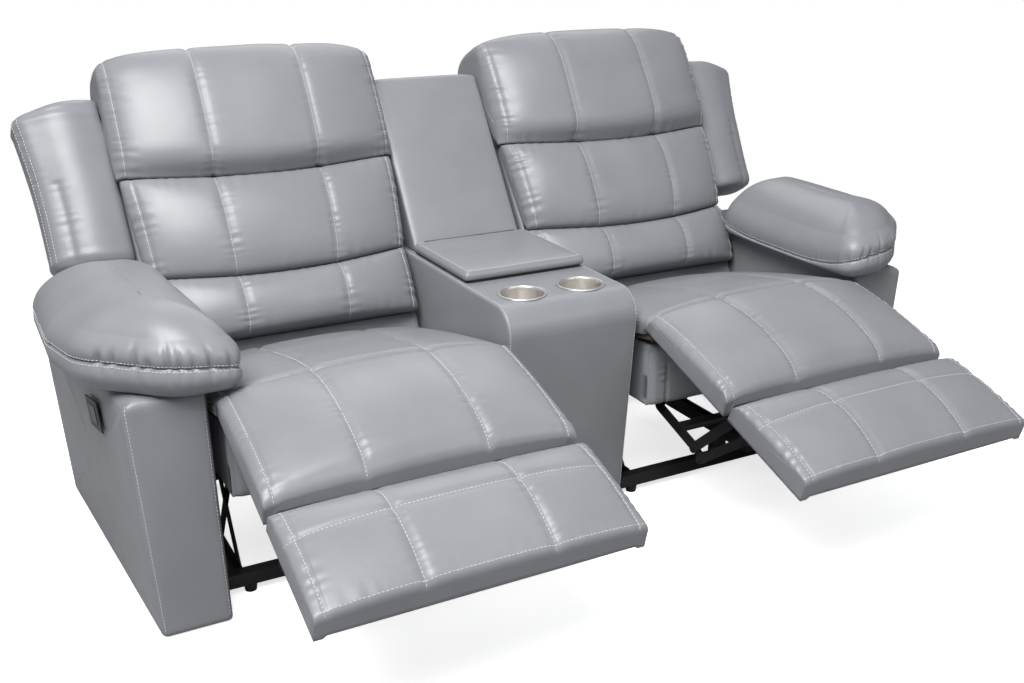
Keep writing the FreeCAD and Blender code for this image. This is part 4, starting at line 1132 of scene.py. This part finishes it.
# The console's shell with its openings, and where the cups stand
def consoleShell():
    spec = consoleSpec
    top = spec["height"]
    half = spec["half"]
    corners = [(spec["rear"], 0.0), (spec["frontLow"], 0.0), (spec["frontTop"], top), (spec["rear"], top)]
    outline = rounded(corners, [4.0, 8.0, spec["nose"], 6.0])
    obj, index = wrapped(
        "ConsoleShell", outline, -half, half, spec["edge"], lambda x, p: (x, p[0], p[1]), 220, 14
    )
    lines = []
    for ring in (index[5], index[-6]):
        points = threadLine(obj, ring)[0]
        high = points[:, 2] > (top - 12.0) * mm
        lines.append(threadLine(obj, ring[(points[:, 2] > 0.02) & (high | (points[:, 1] < -0.2))]))
    lowest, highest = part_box("console_tub")
    inward = spec["flange"] - 0.2
    tools = [boxTool(
        lowest.x / mm + inward, highest.x / mm - inward, lowest.y / mm + inward, highest.y / mm - inward,
        lowest.z / mm - 1.0, top + 10.0,
    )]
    lowest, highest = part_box("cup_holders")
    cupY = (lowest.y + highest.y) / 2 / mm
    rim = (highest.y - lowest.y) / 2 / mm
    cupX = highest.x / mm - rim
    for sx in (-1, 1):
        tools.append(roundTool(sx * cupX, cupY, rim - 4.0, lowest.z / mm - 1.0, top + 10.0))
    cutOut(obj, tools)
    finish(obj, "base", "leather", ["console_body", "console_deck"])
    stitches("ConsoleThreads", lines, "base")
    return cupX, cupY, rim, lowest.z / mm


# A spun steel cup with a rolled lip
def cup(name, x, y, rim, low):
    top = consoleSpec["height"]
    r = rim - 4.6
    wall = 1.4
    inner = r - wall
    profile = [
        (0.0, low), (r - 9.0, low), (r - 3.0, low + 2.6), (r, low + 9.0), (r, top - 0.5),
        (rim, top), (rim + 0.1, top + 1.2), (rim - 1.4, top + 2.6), (r + 0.6, top + 2.7),
        (inner, top + 0.6), (inner, low + 9.5), (inner - 2.6, low + 3.8), (r - 9.4, low + wall),
        (0.0, low + wall),
    ]
    line = [profile[0]]
    for a, b in zip(profile[:-1], profile[1:]):
        steps = max(1, int(math.dist(a, b) / 6.0))
        line += [(lerp(a[0], b[0], k / steps), lerp(a[1], b[1], k / steps)) for k in range(1, steps + 1)]
    made = bmesh.new()
    verts = [made.verts.new((p[0] * mm, 0, p[1] * mm)) for p in line]
    edges = [made.edges.new((a, b)) for a, b in zip(verts[:-1], verts[1:])]
    bmesh.ops.spin(
        made, geom=verts + edges, cent=(0, 0, 0), axis=(0, 0, 1), angle=2 * math.pi, steps=96,
        use_duplicate=False,
    )
    bmesh.ops.remove_doubles(made, verts=made.verts, dist=0.00002)
    bmesh.ops.translate(made, verts=made.verts, vec=(x * mm, y * mm, 0))
    return placed(name, bpy.data.meshes.new(name), made)


lidSpec = {"half": 152.0, "front": -94.0, "rear": 192.0, "base": 541.7, "seam": 556.0, "crown": 568.0}


# The lid's padded top: a band, a seam and a crowned face
def lidPad():
    spec = lidSpec
    half = spec["half"]
    base = spec["base"]
    seam = spec["seam"]
    corners = [(-half, spec["front"]), (half, spec["front"]), (half, spec["rear"]), (-half, spec["rear"])]
    loop = evenly(rounded(corners, [8.0, 8.0, 4.0, 4.0]), 240)
    centre = np.array([0.0, (spec["front"] + spec["rear"]) / 2])
    rings = []
    for z, draw in ((base, 1.5), (base + 3.0, 0.0), (base + 8.0, -0.8), (seam - 2.0, 0.0), (seam, 2.2)):
        rings.append([(p[0], p[1], z) for p in inset(loop, draw)])
    for k in range(1, 26):
        share = (k / 25) ** 1.15 * 0.97
        ring = loop + (centre - loop) * share
        dome = (1.0 - (1.0 - share) ** 5.0) ** 0.55
        z = seam + (spec["crown"] - seam) * dome + 0.7 * sway(ring[:, 0], ring[:, 1], 71, 120.0)
        rings.append([(p[0], p[1], h) for p, h in zip(ring, z)])
    obj, index = bodied("LidPad", rings, capSteps=1)
    finish(obj, "lid", "leather", ["lid_pad"])
    stitches("LidThreads", [threadLine(obj, closed(index[6]))], "lid")


panelSpec = {"foot": (197.5, 534.3), "half": 143.0, "length": 470.0, "thick": 95.0, "crown": 9.0}


# The padded panel behind the console
def consoleBack():
    spec = panelSpec
    footY, footZ = spec["foot"]
    length = spec["length"]
    thick = spec["thick"]
    lean = math.radians(layout["consoleLean"])

    def point(up, front):
        return (
            footY + up * math.sin(lean) - front * math.cos(lean),
            footZ + up * math.cos(lean) + front * math.sin(lean),
        )

    rings = []
    for u in across(1.0, 0.9, 60):
        drop = spec["crown"] * (1.0 - full(u, 1.0, 5.0))
        crown = spec["crown"] * full(u, 1.0, 2.2)
        top = length - drop
        knots = [
            point(2.0 + drop, -drop), point(40.0, crown * 0.6 - drop), point(length * 0.5, crown - drop),
            point(top - 40.0, crown * 0.6 - drop), point(top - 8.0, -6.0 - drop), point(top, -thick * 0.4),
            point(top - 6.0, -thick + 12.0), point(top - 22.0, -thick + drop),
        ]
        line = spline(knots, np.linspace(0, 1, 70))
        rear = line[-1]
        rearFoot = (rear[0] - (rear[1] - footZ) * math.tan(lean), footZ)
        front = (line[0][0], max(line[0][1], footZ))
        ring = [tuple(p) for p in line]
        for a, b, count in ((rear, rearFoot, 14), (rearFoot, front, 8)):
            ring += [(lerp(a[0], b[0], share), lerp(a[1], b[1], share)) for share in arange(0, 1, count)]
        rings.append([(u * spec["half"], p[0], max(p[1], footZ)) for p in ring])
    obj, index = bodied("ConsoleBack", rings, bulge=2.0)
    finish(obj, "base", "leather", ["console_back"])


for name, side, seed in sides:
    seatCushion(name, side, seed)
    upperLegPad(name, side, seed + 30)
    footPad(name, side, seed + 60)
    bolster(name, side, seed + 90)
    print(name, "seat made")
    backTiers(name, side, seed + 120)
    wing(name, side, seed + 220)
    backCover(name, side)
    print(name, "back made")
    arm(name, side)
    armPillow(name, side, seed + 280)
    print(name, "arm made")

cupX, cupY, cupRim, cupLow = consoleShell()
cups = [cup("Cup" + label, sx * cupX, cupY, cupRim, cupLow) for label, sx in (("Left", -1), ("Right", 1))]
for made in cups:
    finish(made, "base", "cupSteel", ["cup_holders"])
lidPad()
consoleBack()
print("console made")

# The construction's own pieces

pairLooks = {
    "blackSteel": [
        "base_frame", "side_plates", "calf_pan", "foot_pan", "long_links", "coupler_links", "tie_links",
    ],
    "blackPlastic": ["actuator", "carriage"],
    "buttonPlastic": ["switch_button"],
    "wood": ["seat_frame", "back_frame"],
}
singleLooks = {
    "blackPlastic": ["console_tub", "lid_board", "glides", "switch_plates"],
    "brightSteel": ["lid_hinge"],
}


def dress(obj, look):
    coloured(obj, look)
    edge = obj.modifiers.new("edge", "BEVEL")
    edge.width = 0.0008
    edge.segments = 2
    edge.limit_method = "ANGLE"
    edge.angle_limit = math.radians(40)
    edge.harden_normals = False


for look, kinds in pairLooks.items():
    for kind in kinds:
        for name, side, seed in sides:
            dress(nodes[name + "_" + kind], look)
for look, kinds in singleLooks.items():
    for kind in kinds:
        dress(nodes[kind], look)
print("frame dressed")

# Floor

stage = {
    "reach": 14.0, "shade": (0.30, 0.30, 0.31), "seen": (0.92, 0.92, 0.92), "glow": 0.74, "fade": (1.3, 2.9),
}


# A floor that takes the shadows near the sofa and fades to white away from it
def floorMaterial():
    material, tree = newMaterial("floor")
    toCamera = node(tree, "LightPath").outputs["Is Camera Ray"]
    shader = node(tree, "BsdfPrincipled", {
        "Base Color": mixed(tree, toCamera, stage["shade"], stage["seen"]),
        "Roughness": 0.9,
        "Emission Color": (1.0, 1.0, 1.0, 1.0),
        "Emission Strength": ranged(tree, toCamera, 0.0, stage["glow"]),
    })
    place = node(tree, "TexCoord").outputs["Object"]
    away = node(tree, "VectorMath", {0: place}, operation="LENGTH").outputs["Value"]
    near, far = stage["fade"]
    inputs = {"Value": away, "From Min": near, "From Max": far}
    fade = node(tree, "MapRange", inputs, interpolation_type="SMOOTHSTEP").outputs["Result"]
    amount = node(tree, "Math", {0: fade, 1: toCamera}, operation="MULTIPLY").outputs["Value"]
    glow = node(tree, "Emission").outputs["Emission"]
    blend = node(tree, "MixShader", {"Fac": amount, 1: shader.outputs["BSDF"], 2: glow})
    node(tree, "OutputMaterial", {"Surface": blend.outputs["Shader"]})
    return material


reach = stage["reach"]
floorMesh = bpy.data.meshes.new("Floor")
floorMesh.from_pydata(
    [(-reach, -reach, 0), (reach, -reach, 0), (reach, reach, 0), (-reach, reach, 0)], [], [(0, 1, 2, 3)]
)
floorMesh.materials.append(floorMaterial())
floor = bpy.data.objects.new("Floor", floorMesh)
bpy.context.scene.collection.objects.link(floor)

# Surroundings: a soft light, and plain white to the camera

world = bpy.data.worlds.new("Studio")
bpy.context.scene.world = world
world.use_nodes = True
tree = world.node_tree
tree.nodes.clear()
toCamera = node(tree, "LightPath").outputs["Is Camera Ray"]
lit = node(tree, "Background", {"Color": (0.93, 0.96, 1.0, 1.0), "Strength": 0.23}).outputs["Background"]
white = node(tree, "Background", {"Color": (1.0, 1.0, 1.0, 1.0), "Strength": 1.0}).outputs["Background"]
blend = node(tree, "MixShader", {"Fac": toCamera, 1: lit, 2: white})
node(tree, "OutputWorld", {"Surface": blend.outputs["Shader"]})

# Light and camera

lamps = {
    "Key": {"at": (-1.9, -2.0, 4.2), "aim": (0.0, 0.0, 0.4), "size": (2.6, 2.6), "power": 300.0},
    "Rear": {"at": (1.2, 3.0, 3.8), "aim": (0.0, 0.2, 0.7), "size": (4.0, 3.0), "power": 55.0},
    "Front": {"at": (1.4, -3.8, 2.8), "aim": (0.0, 0.1, 0.7), "size": (2.4, 1.6), "power": 26.0},
}
for label, lamp in lamps.items():
    light = bpy.data.lights.new(label, "AREA")
    light.shape = "RECTANGLE"
    light.size, light.size_y = lamp["size"]
    light.energy = lamp["power"]
    obj = bpy.data.objects.new(label, light)
    obj.location = lamp["at"]
    aim = Vector(lamp["aim"]) - Vector(lamp["at"])
    obj.rotation_euler = aim.to_track_quat("-Z", "Y").to_euler()
    bpy.context.scene.collection.objects.link(obj)

view = {"at": (-1.180, -2.241, 1.263), "yaw": 28.02, "pitch": 19.91, "focal": 1131.5, "width": 1024.0}
cameraData = bpy.data.cameras.new("Camera")
cameraData.sensor_width = 36.0
cameraData.lens = view["focal"] / view["width"] * cameraData.sensor_width
camera = bpy.data.objects.new("Camera", cameraData)
camera.location = view["at"]
camera.rotation_euler = (math.radians(90.0 - view["pitch"]), 0.0, math.radians(-view["yaw"]))
bpy.context.scene.collection.objects.link(camera)
bpy.context.scene.camera = camera
bpy.context.scene.view_settings.view_transform = "Standard"
